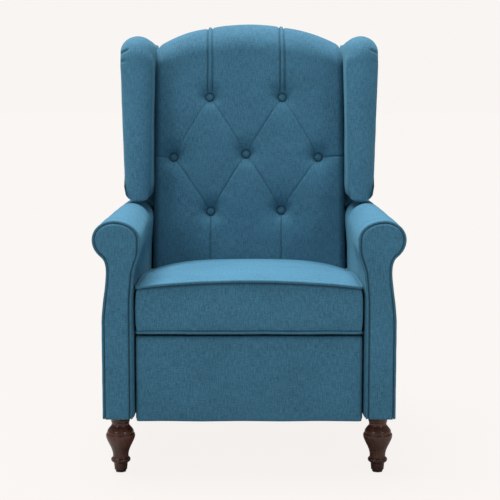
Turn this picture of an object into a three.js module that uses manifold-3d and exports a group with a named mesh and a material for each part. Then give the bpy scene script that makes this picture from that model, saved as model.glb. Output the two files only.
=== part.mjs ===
// A push-back recliner armchair with wings, a tufted back and a fold-out footrest.
// Millimetres, +Z up, -Y to the front. The origin is on the floor, under the middle of the chair's box.
// "left" and "right" are as seen by someone who stands in front of the chair.
import * as THREE from "three";
import { mergeVertices } from "three/addons/utils/BufferGeometryUtils.js";
import Module from "manifold-3d";

const wasm = await Module();
wasm.setup();

// ---------------------------------------------------------------- sizes
const degrees = Math.PI / 180;

// clearances
const seatedGap = 0.4; // between pieces that rest on or in each other
const pivotGap = 0.5; // radial play of a rivet in its hole

// arms
const armLength = 650;
const armThickness = 71; // below the roll
const armBodyHeight = 456.5; // underside to the top of the roll
const rollRadius = 48;
const rollOverhang = 5; // how far the roll stands in over the seat
const neckDrop = 165; // height over which the arm narrows below its roll
const neckPull = 24; // how sharply the outside draws in under the roll
const neckFall = 20;
const neckFlare = 4; // how gently it comes out again below
const facingThickness = 12; // upholstered board on the front of the arm
const facingInset = 5.5; // facing edge to arm skin, round the roll and outside
const facingInnerInset = 10; // the same, beside the seat
const weltRadius = 2.6;
const armFoam = 12; // foam over the ends of the side frame

// floor and wooden base
const glideThickness = 4;
const glideRadius = 12;
const legHeight = 137; // floor to the underside of the arms, glide included
const legFootRadius = 14.8;
const legBulbRadius = 34;
const legFrontInset = 45; // front of the arm to the front leg's axis
const legRearInset = 38; // rear of the arm to the rear leg's axis
const rearLegTop = 46; // the square rear leg's width at the arm
const rearLegFoot = 28; // and at the floor
const rearLegRake = 14; // how far its foot stands back
const legBoltRadius = 4;
const legBoltLength = 32;
const sillWidth = 55;
const sillHeight = 40;
const panelThickness = 15; // plywood side panel
const railThickness = 22; // wooden cross rails
const frontRailSetback = 183; // front of the arms to the front cross rail
const apronHeight = 103;

// steel mechanism
const railPlate = 3; // rail material
const linkPlate = 4; // link material
const layerGap = 1; // play between plates that pass each other
const baseRailHeight = 36;
const baseRailFlange = 20;
const seatRailHalfHeight = 18;
const seatRailTailRadius = 11;
const seatRailNose = 18; // ahead of the footrest's pivot
const seatRailTaper = 32; // length over which it narrows to its tail
const pivotRadius = 4;
const rivetHeadRadius = 8;
const rivetHeadThickness = 3;
const linkRadius = 12;
const swingLength = 100; // links that carry the seat
const swingStart = 35 * degrees; // how far the swing links lean back with the chair upright
const swingPivotRise = 18; // above the wooden rails
const frontSwingSetback = 240; // front of the arms to the front swing pivot
const rearSwingSetback = 530;
const springRadius = 6.5;
const springPinRadius = 3;
const springHookAt = 60; // distance along the swing link
const springLength = 132; // pin to pin, chair upright
const springPinDrop = 22; // rear pin below the front one
const springEarWidth = 20;
const torqueTubeRadius = 8;
const footLinkLength = 150;
const footLinkStart = -100 * degrees; // upper link, measured up from straight ahead

// seat
const seatWidth = 526; // clear width between the arms
const seatRunningGap = 3; // seat and footrest to the arms
const seatFrameHeight = 60;
const seatFrameThickness = 18.5;
const seatCrossRailHeight = 32;
const seatFrameRise = 51; // swing pivots to the top of the seat frame
const seatFrameSetback = 60; // front of the arms to the seat frame
const springWireRadius = 1.9;
const springWireWidth = 22; // half the width of a zigzag spring
const springWaves = 7;
const springSpacing = 100;
const springDrop = 12; // its ends below the top of the seat frame
const springArch = 5;
const cushionFrontHeight = 107;
const cushionCrown = 19; // its middle above its front edge
const cushionSlack = 3; // cushion to back
const cushionSideGap = 4; // cushion to the arms
const cushionRound = 9; // its front edges

// back
const backLean = 15 * degrees;
const backRise = 770; // underside of the back cushion to its crown
const backShoulderDrop = 64; // crown to the back's top corners
const backThickness = 165; // along Y
const backPivotDrop = 23; // recline pivot below the back cushion
const backStandOff = 10; // rear of the arms to the lower rear edge of the back
const backRearRise = 710; // underside to the rearmost top edge
const backSideGap = 3; // back to the arm rolls
const backToe = 14; // bevel along its lower front edge
const backTopRound = 35;
const backFrameThickness = 25; // along Y
const backShellThickness = 8;
const backSkirt = 50; // rear shell below the back cushion
const postWidth = 25;
const backRailHeight = 50;
const backRailMargin = 30; // rails from the ends of the cushion
const wingTieMargin = 42; // lower tie above the underside of the wings
const wingTieReach = 34; // ties to the wing frames, outside the back
const bracketLength = 125;
const buttonRadius = 11;
const buttonHeight = 7;
const buttonPlay = 2; // button to the floor of its dimple, all round
const dimpleDepth = 18;
const dimpleRadius = 34;
const buttonRows = [
  { name: "top", below: 203, across: [-99, 99], lift: [0, 0] },
  { name: "middle", below: 365, across: [-196, 0, 196], lift: [0, 9, 0] },
  { name: "lower", below: 509, across: [-95, 95], lift: [0, 3] },
];
const tuftShift = -9; // the whole pattern sits a little to the left

// wings
const wingGap = 4; // above the arm rolls
const wingReach = 120; // forward of the back
const wingThicknessLow = 66;
const wingThicknessTop = 90;
const wingTopDrop = 34; // crown of the back to the top of the wing
const wingFrameThickness = 12;
const wingFrameInset = 24;
const wingRearInset = 3; // rear of the wing forward of the back's rear face
const wingRound = 55; // radius of the wing's upper front corner
const wingRearRound = 40; // and of its upper rear one
const wingToe = 14; // bevel at its lower front corner
const wingShoulder = 50; // height over which its top rounds off, seen from the front

// footrest
const footPadThickness = 24;
const footRound = 7;
const footBoardThickness = 15;
const footBoardInset = 6; // board inside the pad's edges
const footSetback = 13; // front of the arms to the footrest's face
const footDrop = 12; // footrest below the arms
const footTopGap = 4.5; // footrest to seat cushion
const footBracketReach = 22; // board to the bracket's pivot
const footBracketHeight = 88;
const footBracketWidth = 22;
const footPivotSetback = 77; // board to the pivot of the upper link
const footPivotRise = 8; // above the pivots of the swing links
const footPivotDrop = 15; // link pivot on the seat to the bracket's pivot

// ---------------------------------------------------------------- places worked out from the sizes
const halfSeat = seatWidth / 2;
const armOuter = halfSeat + armThickness;
const armMiddle = (halfSeat + armOuter) / 2;
const rollX = halfSeat - rollOverhang + rollRadius;
const armTop = legHeight + armBodyHeight;
const rollZ = armTop - rollRadius;

const overallDepth = armLength + backStandOff + backRearRise * Math.tan(backLean);
const front = -overallDepth / 2;
const armRear = front + armLength;
const padFront = front + facingThickness + seatedGap;

const sillTop = legHeight + sillHeight;
const railFace = halfSeat - 25; // inner face of both steel rails
const layers = [0, 1, 2].map((i) => railFace - layerGap - linkPlate - i * (linkPlate + layerGap));
const baseRailBottom = sillTop + seatedGap;
const frontRailY = front + frontRailSetback;
const rearRailY = armRear - 12 - seatedGap - railThickness;

const swingZ = sillTop + swingPivotRise;
const seatPivotZ = swingZ + swingLength * Math.cos(swingStart);
const swingBack = swingLength * Math.sin(swingStart);
const frontSwing = new THREE.Vector2(front + frontSwingSetback, swingZ);
const rearSwing = new THREE.Vector2(front + rearSwingSetback, swingZ);
const swingTop = (foot) => new THREE.Vector2(foot.x + swingBack, seatPivotZ);

const seatFrameTop = seatPivotZ + seatFrameRise;
const seatFrameFront = front + seatFrameSetback;
const cushionBottom = seatFrameTop + seatedGap;
const cushionTop = cushionBottom + cushionFrontHeight + cushionCrown;
const cushionFront = padFront; // behind the welts of the arms
const cushionHalf = halfSeat - cushionSideGap;

const backBottom = seatPivotZ + backPivotDrop;
const backCrown = backBottom + backRise;
const backHalf = halfSeat - rollOverhang - backSideGap;
const rearLine = (z) => armRear + backStandOff + (z - backBottom) * Math.tan(backLean);
const frontLine = (z) => rearLine(z) - backThickness;
const frameBack = backShellThickness + seatedGap; // rear line to the back frame
const frameFront = frameBack + backFrameThickness;
const cushionBack = frameFront + seatedGap;
const postLine = (z) => rearLine(z) - (frameBack + frameFront) / 2;
const reclinePivot = new THREE.Vector2(postLine(seatPivotZ), seatPivotZ);
const seatFrameRear = frontLine(backBottom) - 4;
const wingBottom = armTop + wingGap;
const wingInner = backHalf + 1;

const footFace = front + footSetback;
const boardFront = footFace + footPadThickness + seatedGap;
const boardRear = boardFront + footBoardThickness;
const footBottom = legHeight - footDrop;
const footTop = cushionBottom - footTopGap;
const footPivot = new THREE.Vector2(boardRear + footPivotSetback, seatPivotZ + footPivotRise);
const ahead = (angle) => new THREE.Vector2(-Math.cos(angle), Math.sin(angle));
const knee = footPivot.clone().addScaledVector(ahead(footLinkStart), footLinkLength);
const bracketPivot = new THREE.Vector2(boardRear + footBracketReach, footPivot.y - footPivotDrop);

// ---------------------------------------------------------------- materials
const fabric = new THREE.MeshStandardMaterial({ color: 0x3c6f8b, roughness: 0.95, metalness: 0 });
const walnut = new THREE.MeshStandardMaterial({ color: 0x3c1f16, roughness: 0.28, metalness: 0 });
const pine = new THREE.MeshStandardMaterial({ color: 0xc9a26c, roughness: 0.75, metalness: 0 });
const steel = new THREE.MeshStandardMaterial({ color: 0x2b2d30, roughness: 0.45, metalness: 0.8 });
const wire = new THREE.MeshStandardMaterial({ color: 0x8a8d90, roughness: 0.35, metalness: 0.9 });
const nylon = new THREE.MeshStandardMaterial({ color: 0x1c1c1d, roughness: 0.6, metalness: 0 });

// ---------------------------------------------------------------- shape helpers
function solid(geometry) {
  const bare = geometry.index ? geometry.toNonIndexed() : geometry.clone();
  bare.deleteAttribute("normal");
  bare.deleteAttribute("uv");
  const merged = mergeVertices(bare, 1e-4);
  const vertProperties = merged.attributes.position.array;
  const triVerts = new Uint32Array(merged.index.array);
  return new wasm.Manifold(new wasm.Mesh({ numProp: 3, vertProperties, triVerts }));
}

function geometry(made) {
  const mesh = made.getMesh();
  const result = new THREE.BufferGeometry();
  result.setAttribute("position", new THREE.BufferAttribute(mesh.vertProperties, 3));
  result.setIndex(new THREE.BufferAttribute(mesh.triVerts, 1));
  result.computeVertexNormals();
  return result;
}

const join = (first, ...rest) => geometry(rest.reduce((all, g) => all.add(solid(g)), solid(first)));
const cut = (body, ...tools) => geometry(tools.reduce((left, g) => left.subtract(solid(g)), solid(body)));
const common = (a, b) => geometry(solid(a).intersect(solid(b)));

// A box between two corners, given in any order.
function box(x0, x1, y0, y1, z0, z1) {
  const size = [Math.abs(x1 - x0), Math.abs(y1 - y0), Math.abs(z1 - z0)];
  return new THREE.BoxGeometry(...size).translate((x0 + x1) / 2, (y0 + y1) / 2, (z0 + z1) / 2);
}

// A side-view outline (Y, Z) given thickness across the chair, between x0 and x1 in any order.
function acrossX(outline, x0, x1, curveSegments = 8) {
  const depth = Math.abs(x1 - x0);
  const made = new THREE.ExtrudeGeometry(outline, { depth, bevelEnabled: false, curveSegments });
  const toX = new THREE.Matrix4().makeBasis(
    new THREE.Vector3(0, 1, 0),
    new THREE.Vector3(0, 0, 1),
    new THREE.Vector3(1, 0, 0),
  );
  return made.applyMatrix4(toX).translate(Math.min(x0, x1), 0, 0);
}

// A front-view outline (X, Z) given depth from y0 back to y1.
function alongY(outline, y0, y1, curveSegments = 8) {
  const made = new THREE.ExtrudeGeometry(outline, { depth: y1 - y0, bevelEnabled: false, curveSegments });
  return made.rotateX(Math.PI / 2).translate(0, y1, 0);
}

const polygon = (points) => new THREE.Shape(points.map(([a, b]) => new THREE.Vector2(a, b)));

// A round bar across the chair between x0 and x1.
function barX(radius, x0, x1, at, sides = 16) {
  const made = new THREE.CylinderGeometry(radius, radius, Math.abs(x1 - x0), sides);
  return made.rotateZ(Math.PI / 2).translate((x0 + x1) / 2, at.x, at.y);
}

// A flat link with round ends and a pivot hole in each listed place.
function link(a, b, radius, holes) {
  const angle = Math.atan2(b.y - a.y, b.x - a.x);
  const outline = new THREE.Shape();
  outline.absarc(a.x, a.y, radius, angle + Math.PI / 2, angle + 1.5 * Math.PI, false);
  outline.absarc(b.x, b.y, radius, angle - Math.PI / 2, angle + Math.PI / 2, false);
  outline.closePath();
  outline.holes = holes.map((at) => hole(at));
  return outline;
}

function hole(at, radius = pivotRadius + pivotGap) {
  const round = new THREE.Path();
  round.absarc(at.x, at.y, radius, 0, 2 * Math.PI, true);
  return round;
}

// A rivet that stands inwards from a plate's inner face, through one link, to its head.
function rivet(side, plateInner, at) {
  const headFrom = plateInner - layerGap - linkPlate - 0.5;
  const shank = barX(pivotRadius, side * plateInner, side * headFrom, at);
  const head = barX(rivetHeadRadius, side * headFrom, side * (headFrom - rivetHeadThickness), at);
  return join(shank, head);
}

// The chair is a group of its moving sections, and each section is a group of named meshes.
const chair = new THREE.Group();
const base = new THREE.Group();
const mechanism = new THREE.Group();
const seat = new THREE.Group();
const back = new THREE.Group();
const footrest = new THREE.Group();
chair.add(base, mechanism, seat, back, footrest);

function add(section, name, material, shape) {
  const mesh = new THREE.Mesh(shape, material);
  mesh.name = name;
  section.add(mesh);
  return mesh;
}

const sides = [
  { hand: "left", side: -1 },
  { hand: "right", side: 1 },
];

// ---------------------------------------------------------------- arms
// Front-view outline of an arm on the right: a round roll on top, a neck outside, and an inner face
// that is straight up to straightTop and then eases in to the roll.
function armOutline(inner, outer, radius, bottom, straightTop) {
  const neckAngle = 55 * degrees;
  const neckX = rollX + radius * Math.cos(neckAngle);
  const neckZ = rollZ - radius * Math.sin(neckAngle);
  const waist = rollZ - neckDrop;
  const outline = new THREE.Shape();
  outline.moveTo(inner, bottom);
  outline.lineTo(inner, straightTop);
  const ease = (rollZ - straightTop) * 0.4;
  outline.bezierCurveTo(inner, straightTop + ease, rollX - radius, rollZ - ease, rollX - radius, rollZ);
  outline.absarc(rollX, rollZ, radius, Math.PI, -neckAngle, true);
  outline.bezierCurveTo(neckX - neckPull, neckZ - neckFall, outer - neckFlare, waist + 50, outer, waist - 20);
  outline.lineTo(outer, bottom);
  return outline;
}

const mirrored = (points, side) => new THREE.Shape(points.map((p) => new THREE.Vector2(side * p.x, p.y)));
const bodyOutline = () => armOutline(halfSeat, armOuter, rollRadius, legHeight, cushionTop + seatedGap);

const crossRailEnd = armMiddle - sillWidth / 2 - seatedGap; // rails stop at the sills

function sideFrame(side, play) {
  const low = legHeight - (play ? 1 : 0);
  const y0 = padFront + armFoam - play;
  const y1 = armRear - armFoam + play;
  const half = panelThickness / 2 + play;
  const sillHalf = sillWidth / 2 + play;
  const panel = box(side * (armMiddle - half), side * (armMiddle + half), y0, y1, low, rollZ + 20 + play);
  const [sillInner, sillOuter] = [armMiddle - sillHalf, armMiddle + sillHalf];
  const sill = box(side * sillInner, side * sillOuter, y0, y1, low, sillTop + play);
  return join(panel, sill);
}

function crossRail(y0, play) {
  const end = crossRailEnd + play * 2;
  return box(-end, end, y0 - play, y0 + railThickness + play, legHeight - play, sillTop + play);
}

function legBoltHole(side, y) {
  const height = legBoltLength + 2;
  const round = new THREE.CylinderGeometry(legBoltRadius + pivotGap, legBoltRadius + pivotGap, height, 16);
  return round.rotateX(Math.PI / 2).translate(side * armMiddle, y, legHeight + height / 2 - 1);
}

// The welt follows the facing's edge, a gap and its own radius outside it.
function weltPath(side) {
  const outline = facingOutline();
  const y = front + facingThickness - weltRadius - seatedGap;
  const away = weltRadius + seatedGap;
  const steps = Array.from({ length: 60 }, (_, i) => i / 60);
  const points = steps.map((u) => {
    const at = outline.getPointAt(u);
    const along = outline.getTangentAt(u);
    const z = Math.max(at.y + along.x * away, legHeight + away);
    return new THREE.Vector3(side * (at.x - along.y * away), y, z);
  });
  return new THREE.CatmullRomCurve3(points);
}

function cord(path, radius, steps, roundness) {
  const section = new THREE.Shape();
  section.absarc(0, 0, radius, 0, 2 * Math.PI, false);
  return new THREE.ExtrudeGeometry(section, { steps, extrudePath: path, curveSegments: roundness / 2 });
}

const facingOutline = () => {
  const [inner, outer] = [halfSeat + facingInnerInset, armOuter - facingInset];
  return armOutline(inner, outer, rollRadius - facingInset, legHeight, rollZ - neckDrop);
};

const frontLegY = front + legFrontInset;
const rearLegY = armRear - legRearInset;

for (const { hand, side } of sides) {
  const boltHoles = [legBoltHole(side, frontLegY), legBoltHole(side, rearLegY)];
  add(base, `side_frame_${hand}`, pine, cut(sideFrame(side, 0), ...boltHoles));

  const body = alongY(mirrored(bodyOutline().getPoints(8), side), padFront, armRear);
  const notches = [crossRail(frontRailY, seatedGap), crossRail(rearRailY, seatedGap)];
  add(base, `arm_pad_${hand}`, fabric, cut(body, sideFrame(side, seatedGap), ...notches));

  const facing = mirrored(facingOutline().getPoints(8), side);
  add(base, `arm_facing_${hand}`, fabric, alongY(facing, front, front + facingThickness));
  add(base, `arm_welt_${hand}`, fabric, cord(weltPath(side), weltRadius, 96, 6));
}

// ---------------------------------------------------------------- legs and glides
const legBottom = glideThickness + seatedGap;
const legTall = legHeight - seatedGap - legBottom;

// Turned outline, foot to neck: [share of the leg's height, share of the bulb's radius].
const turning = [
  [0.1, 0.485],
  [0.135, 0.52],
  [0.175, 0.668],
  [0.235, 0.56],
  [0.28, 0.548],
  [0.395, 0.7],
  [0.58, 1],
  [0.66, 0.87],
  [0.7, 0.8],
  [0.765, 0.62],
  [0.81, 0.632],
  [0.88, 0.79],
  [1, 0.79],
];

// Turned front leg with its bolt, standing on the origin.
function turnedLeg() {
  const turns = turning.map(([up, out]) => new THREE.Vector2(out * legBulbRadius, up * legTall));
  const curve = new THREE.SplineCurve([new THREE.Vector2(legFootRadius, 0), ...turns]);
  const profile = [
    new THREE.Vector2(0, 0),
    ...curve.getPoints(22),
    new THREE.Vector2(legBoltRadius, legTall),
    new THREE.Vector2(legBoltRadius, legTall + legBoltLength),
    new THREE.Vector2(0, legTall + legBoltLength),
  ];
  return new THREE.LatheGeometry(profile, 16).rotateX(Math.PI / 2);
}

// Square rear leg with its bolt: tapered, with its foot raked back, its top centred over the origin.
function taperedLeg() {
  const leg = new THREE.BoxGeometry(rearLegTop, rearLegTop, legTall).translate(0, 0, legTall / 2);
  const at = leg.attributes.position;
  const taper = rearLegFoot / rearLegTop;
  for (let i = 0; i < at.count; i += 1) {
    if (at.getZ(i) === 0) {
      at.setXY(i, at.getX(i) * taper, at.getY(i) * taper + rearLegRake);
    }
  }
  const buried = legBoltLength / 2;
  const bolt = new THREE.CylinderGeometry(legBoltRadius, legBoltRadius, legBoltLength + buried, 16);
  bolt.rotateX(Math.PI / 2).translate(0, 0, legTall + (legBoltLength - buried) / 2);
  return join(leg, bolt);
}

function glide() {
  const disc = new THREE.CylinderGeometry(glideRadius, glideRadius, glideThickness, 16);
  return disc.rotateX(Math.PI / 2).translate(0, 0, glideThickness / 2);
}

for (const { hand, side } of sides) {
  const x = side * armMiddle;
  add(base, `front_leg_${hand}`, walnut, turnedLeg()).position.set(x, frontLegY, legBottom);
  add(base, `rear_leg_${hand}`, walnut, taperedLeg()).position.set(x, rearLegY, legBottom);
  add(base, `front_glide_${hand}`, nylon, glide()).position.set(x, frontLegY, 0);
  add(base, `rear_glide_${hand}`, nylon, glide()).position.set(x, rearLegY + rearLegRake, 0);
}

// ---------------------------------------------------------------- wooden cross rails and steel base rails
add(base, "front_cross_rail", pine, crossRail(frontRailY, 0));
add(base, "rear_cross_rail", pine, crossRail(rearRailY, 0));

const apronY = rearRailY + railThickness + seatedGap;
const apronHalf = halfSeat - seatedGap;
const apron = box(-apronHalf, apronHalf, apronY, armRear, legHeight, legHeight + apronHeight);
add(base, "rear_apron", fabric, apron);

const springHook = frontSwing.clone().lerp(swingTop(frontSwing), springHookAt / swingLength);
const springRun = Math.sqrt(springLength ** 2 - springPinDrop ** 2);
const springPost = new THREE.Vector2(springHook.x + springRun, springHook.y - springPinDrop);
const springX = layers[2] - 3; // springs hang just inside the links
const springPinEnd = springX - springRadius;

function baseRail(side) {
  const y1 = rearRailY + railThickness;
  const outer = railFace + railPlate;
  const top = baseRailBottom + baseRailHeight;
  const web = box(side * railFace, side * outer, frontRailY, y1, baseRailBottom, top);
  const wide = side * (outer + baseRailFlange);
  const flange = box(side * railFace, wide, frontRailY, y1, baseRailBottom, baseRailBottom + railPlate);
  const earHalf = springEarWidth / 2;
  const [earFront, earRear] = [springPost.x - earHalf, springPost.x + earHalf];
  const ear = box(side * railFace, side * outer, earFront, earRear, top - 1, springPost.y + earHalf);
  const pin = barX(springPinRadius, side * railFace, side * springPinEnd, springPost, 12);
  const rivets = [frontSwing, rearSwing].map((at) => rivet(side, railFace, at));
  return join(web, flange, ear, pin, ...rivets);
}

function swingLink(side, foot, hasHook) {
  const plate = acrossX(link(foot, swingTop(foot), linkRadius, [foot, swingTop(foot)]), ...layer(side, 0));
  if (!hasHook) {
    return plate;
  }
  const pin = barX(springPinRadius, side * (layers[0] + 1), side * springPinEnd, springHook, 12);
  return join(plate, pin);
}

// Inner and outer x of a plate layer, counted inwards from the rails.
function layer(side, number) {
  return [side * layers[number], side * (layers[number] + linkPlate)];
}

// Outer shape of a return spring between its two pins, along Y and centred on the origin.
function returnSpring() {
  const length = springLength - 2 * (springPinRadius + seatedGap);
  return new THREE.CylinderGeometry(springRadius, springRadius, length, 12);
}

const springMiddle = springHook.clone().lerp(springPost, 0.5);
const springSlope = Math.atan2(springPost.y - springHook.y, springPost.x - springHook.x);

for (const { hand, side } of sides) {
  add(mechanism, `base_rail_${hand}`, steel, baseRail(side));
  add(mechanism, `front_swing_link_${hand}`, steel, swingLink(side, frontSwing, true));
  add(mechanism, `rear_swing_link_${hand}`, steel, swingLink(side, rearSwing, false));
  const spring = add(mechanism, `return_spring_${hand}`, wire, returnSpring());
  spring.rotation.x = springSlope;
  spring.position.set(side * springX, springMiddle.x, springMiddle.y);
}

// ---------------------------------------------------------------- seat
const seatFrameOuter = halfSeat - seatRunningGap;
const seatFrameInner = seatFrameOuter - seatFrameThickness;

function seatFrame() {
  const low = seatFrameTop - seatFrameHeight;
  const rails = sides.map(({ side }) =>
    box(side * seatFrameInner, side * seatFrameOuter, seatFrameFront, seatFrameRear, low, seatFrameTop),
  );
  const rear = seatFrameRear - railThickness;
  const reach = seatFrameInner + 1;
  const frontRear = seatFrameFront + railThickness;
  return join(
    ...rails,
    box(-reach, reach, seatFrameFront, frontRear, seatFrameTop - seatCrossRailHeight, seatFrameTop),
    box(-reach, reach, rear, seatFrameRear, seatFrameTop - seatCrossRailHeight, seatFrameTop),
  );
}

// Long plate that carries the links, tapered at its rear end where the back pivots.
function seatRailOutline() {
  const low = seatPivotZ - seatRailHalfHeight;
  const high = seatPivotZ + seatRailHalfHeight;
  const outline = new THREE.Shape();
  outline.moveTo(footPivot.x - seatRailNose, low);
  outline.lineTo(reclinePivot.x - seatRailTaper, low);
  outline.lineTo(reclinePivot.x, seatPivotZ - seatRailTailRadius);
  outline.absarc(reclinePivot.x, seatPivotZ, seatRailTailRadius, -Math.PI / 2, Math.PI / 2, false);
  outline.lineTo(reclinePivot.x - seatRailTaper, high);
  outline.lineTo(footPivot.x - seatRailNose, high);
  return outline;
}

function seatRail(side) {
  const plate = acrossX(seatRailOutline(), side * railFace, side * (railFace + railPlate));
  const pivots = [swingTop(frontSwing), swingTop(rearSwing), reclinePivot];
  const [from, to] = [side * (railFace - 1), side * (railFace + railPlate + 1)];
  const bore = barX(pivotRadius + pivotGap, from, to, footPivot);
  return cut(join(plate, ...pivots.map((at) => rivet(side, railFace, at))), bore);
}

// Middle line of a zigzag spring, from the front cross rail to the rear one.
class ZigzagPath extends THREE.Curve {
  getPoint(t, target = new THREE.Vector3()) {
    const from = seatFrameFront + railThickness + springWireRadius + layerGap;
    const to = seatFrameRear - railThickness - springWireRadius - layerGap;
    const sway = springWireWidth * Math.sin(2 * Math.PI * springWaves * t);
    const arch = springArch * Math.sin(Math.PI * t);
    return target.set(sway, from + (to - from) * t, seatFrameTop - springDrop + arch);
  }
}

function seatCushion() {
  const rear = frontLine(cushionBottom) - cushionSlack;
  const edge = cushionBottom + cushionFrontHeight;
  const reach = rear - cushionFront;
  const [rise, fall] = [cushionFront + reach * 0.3, cushionFront + reach * 0.6];
  const outline = new THREE.Shape();
  outline.moveTo(cushionFront + cushionRound / 2, cushionBottom);
  outline.lineTo(rear, cushionBottom);
  outline.lineTo(frontLine(edge) - 2 * cushionSlack, edge);
  outline.bezierCurveTo(fall, cushionTop, rise, cushionTop, cushionFront + cushionRound, edge);
  outline.lineTo(cushionFront, edge - cushionRound);
  return acrossX(outline, -cushionHalf, cushionHalf, 6);
}

add(seat, "seat_frame", pine, seatFrame());
add(seat, "seat_cushion", fabric, seatCushion());
for (const { hand, side } of sides) {
  add(seat, `seat_rail_${hand}`, steel, seatRail(side));
}
[-1.5, -0.5, 0.5, 1.5].forEach((place, i) => {
  const spring = cord(new ZigzagPath(), springWireRadius, 42, 4);
  add(seat, `seat_spring_${i + 1}`, wire, spring).position.x = place * springSpacing;
});

// ---------------------------------------------------------------- back
// A slab that leans with the back, between two heights and two distances forward of the rear line.
function leaning(z0, z1, near, far) {
  return polygon([
    [rearLine(z0) - far, z0],
    [rearLine(z0) - near, z0],
    [rearLine(z1) - near, z1],
    [rearLine(z1) - far, z1],
  ]);
}

// Front-view outline of the back, narrowed and lowered by an inset: straight sides and an arched top.
function backOutline(inset, bottom) {
  const half = backHalf - inset;
  const shoulder = backCrown - backShoulderDrop - inset;
  const crown = backCrown - inset;
  const outline = new THREE.Shape();
  outline.moveTo(-half, bottom);
  outline.lineTo(half, bottom);
  outline.lineTo(half, shoulder);
  const pull = backShoulderDrop * 0.95;
  outline.bezierCurveTo(half * 0.8, shoulder + pull * 0.6, half * 0.45, crown, 0, crown);
  outline.bezierCurveTo(-half * 0.45, crown, -half * 0.8, shoulder + pull * 0.6, -half, shoulder);
  return outline;
}

// Side view of the whole back: parallel faces and a top rounded over between them.
function backSection() {
  const top = backBottom + backRearRise;
  const outline = new THREE.Shape();
  outline.moveTo(frontLine(backBottom) + backToe, backBottom);
  outline.lineTo(rearLine(backBottom) - cushionBack, backBottom);
  outline.lineTo(rearLine(top) - cushionBack, top);
  const brow = top - backTopRound / 2;
  outline.quadraticCurveTo(
    rearLine(top) - cushionBack,
    backCrown,
    rearLine(top) - cushionBack - backTopRound,
    backCrown,
  );
  outline.quadraticCurveTo(frontLine(backCrown), backCrown, frontLine(brow), brow);
  outline.lineTo(frontLine(backBottom + backToe), backBottom + backToe);
  return outline;
}

const buttons = buttonRows.flatMap((row) =>
  row.across.map((x, i) => {
    const column = x === 0 ? "centre" : x < 0 ? "left" : "right";
    return { name: `tuft_button_${row.name}_${column}`, x: x + tuftShift, z: backCrown - row.below + row.lift[i] };
  }),
);

const turned = (profile, sides) =>
  new THREE.LatheGeometry(
    profile.map(([r, z]) => new THREE.Vector2(r, z)),
    sides,
  ).rotateX(Math.PI / 2);

// Cone cut out of the back's face round a button.
function dimple(button) {
  const floor = buttonRadius + buttonPlay;
  const profile = [
    [0, -dimpleDepth],
    [floor, -dimpleDepth],
    [dimpleRadius, 1],
    [0, 1],
  ];
  const made = turned(profile, 12).rotateX(Math.PI / 2 - backLean);
  return made.translate(button.x, frontLine(button.z), button.z);
}

// Domed button round +Z, its underside on the floor of a dimple whose mouth is at z = 0.
function tuftButton() {
  const base = seatedGap - dimpleDepth;
  const profile = [
    [0, base],
    [buttonRadius * 0.9, base],
    [buttonRadius, base + buttonHeight * 0.4],
    [buttonRadius * 0.7, base + buttonHeight * 0.85],
    [0, base + buttonHeight],
  ];
  return turned(profile, 16);
}

const tieRails = [
  wingBottom + wingTieMargin,
  backCrown - backShoulderDrop - backRailHeight - backRailMargin,
].map((z) => ({ low: z, high: z + backRailHeight }));
const wingFrameX = wingInner + wingTieReach;

function tieRail({ low, high }, reach, play) {
  return acrossX(leaning(low - play, high + play, frameBack - play, frameFront + play), -reach, reach);
}

function backFrame() {
  const top = tieRails[1].high - 1;
  const inner = layers[0] - seatedGap - postWidth;
  const posts = sides.map(({ side }) => {
    const post = leaning(backBottom + backSideGap, top, frameBack, frameFront);
    return acrossX(post, side * inner, side * (inner + postWidth));
  });
  const low = backBottom + backRailMargin;
  const lowRail = acrossX(leaning(low, low + backRailHeight, frameBack, frameFront), -inner - 1, inner + 1);
  const ties = tieRails.map((rail) => tieRail(rail, wingFrameX - seatedGap, 0));
  return join(...posts, lowRail, ...ties);
}

function backShell() {
  const bottom = backBottom - backSkirt;
  const top = backBottom + backRearRise;
  const slab = leaning(bottom, top, 0, frameFront);
  const body = common(acrossX(slab, -backHalf, backHalf), alongY(backOutline(0, bottom), front, -front));
  const pocketSlab = leaning(bottom - 1, top - 10, backShellThickness, frameFront + 1);
  const pocketHalf = backHalf - backShellThickness;
  const pocketBody = acrossX(pocketSlab, -pocketHalf, pocketHalf);
  const pocket = common(pocketBody, alongY(backOutline(backShellThickness, bottom - 2), front, -front));
  const cheeks = sides.map(({ side }) => {
    const cheek = leaning(bottom - 1, backBottom, backShellThickness - 1, frameFront + 1);
    return acrossX(cheek, side * (pocketHalf - 1), side * (backHalf + 1));
  });
  const notches = tieRails.map((rail) => tieRail(rail, wingFrameX, seatedGap));
  return cut(body, pocket, ...cheeks, ...notches);
}

function reclineBracket(side) {
  const end = postLine(seatPivotZ + bracketLength);
  const top = new THREE.Vector2(end, seatPivotZ + bracketLength);
  return acrossX(link(reclinePivot, top, linkRadius - 1, [reclinePivot]), ...layer(side, 0));
}

const backBody = acrossX(backSection(), -backHalf, backHalf);
const backCushion = common(backBody, alongY(backOutline(0, backBottom - 1), front, -front));
add(back, "back_cushion", fabric, cut(backCushion, ...buttons.map(dimple)));
add(back, "back_frame", pine, backFrame());
add(back, "back_shell", fabric, backShell());
for (const button of buttons) {
  const mesh = add(back, button.name, fabric, tuftButton());
  mesh.rotation.x = Math.PI / 2 - backLean;
  mesh.position.set(button.x, frontLine(button.z), button.z);
}

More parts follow.
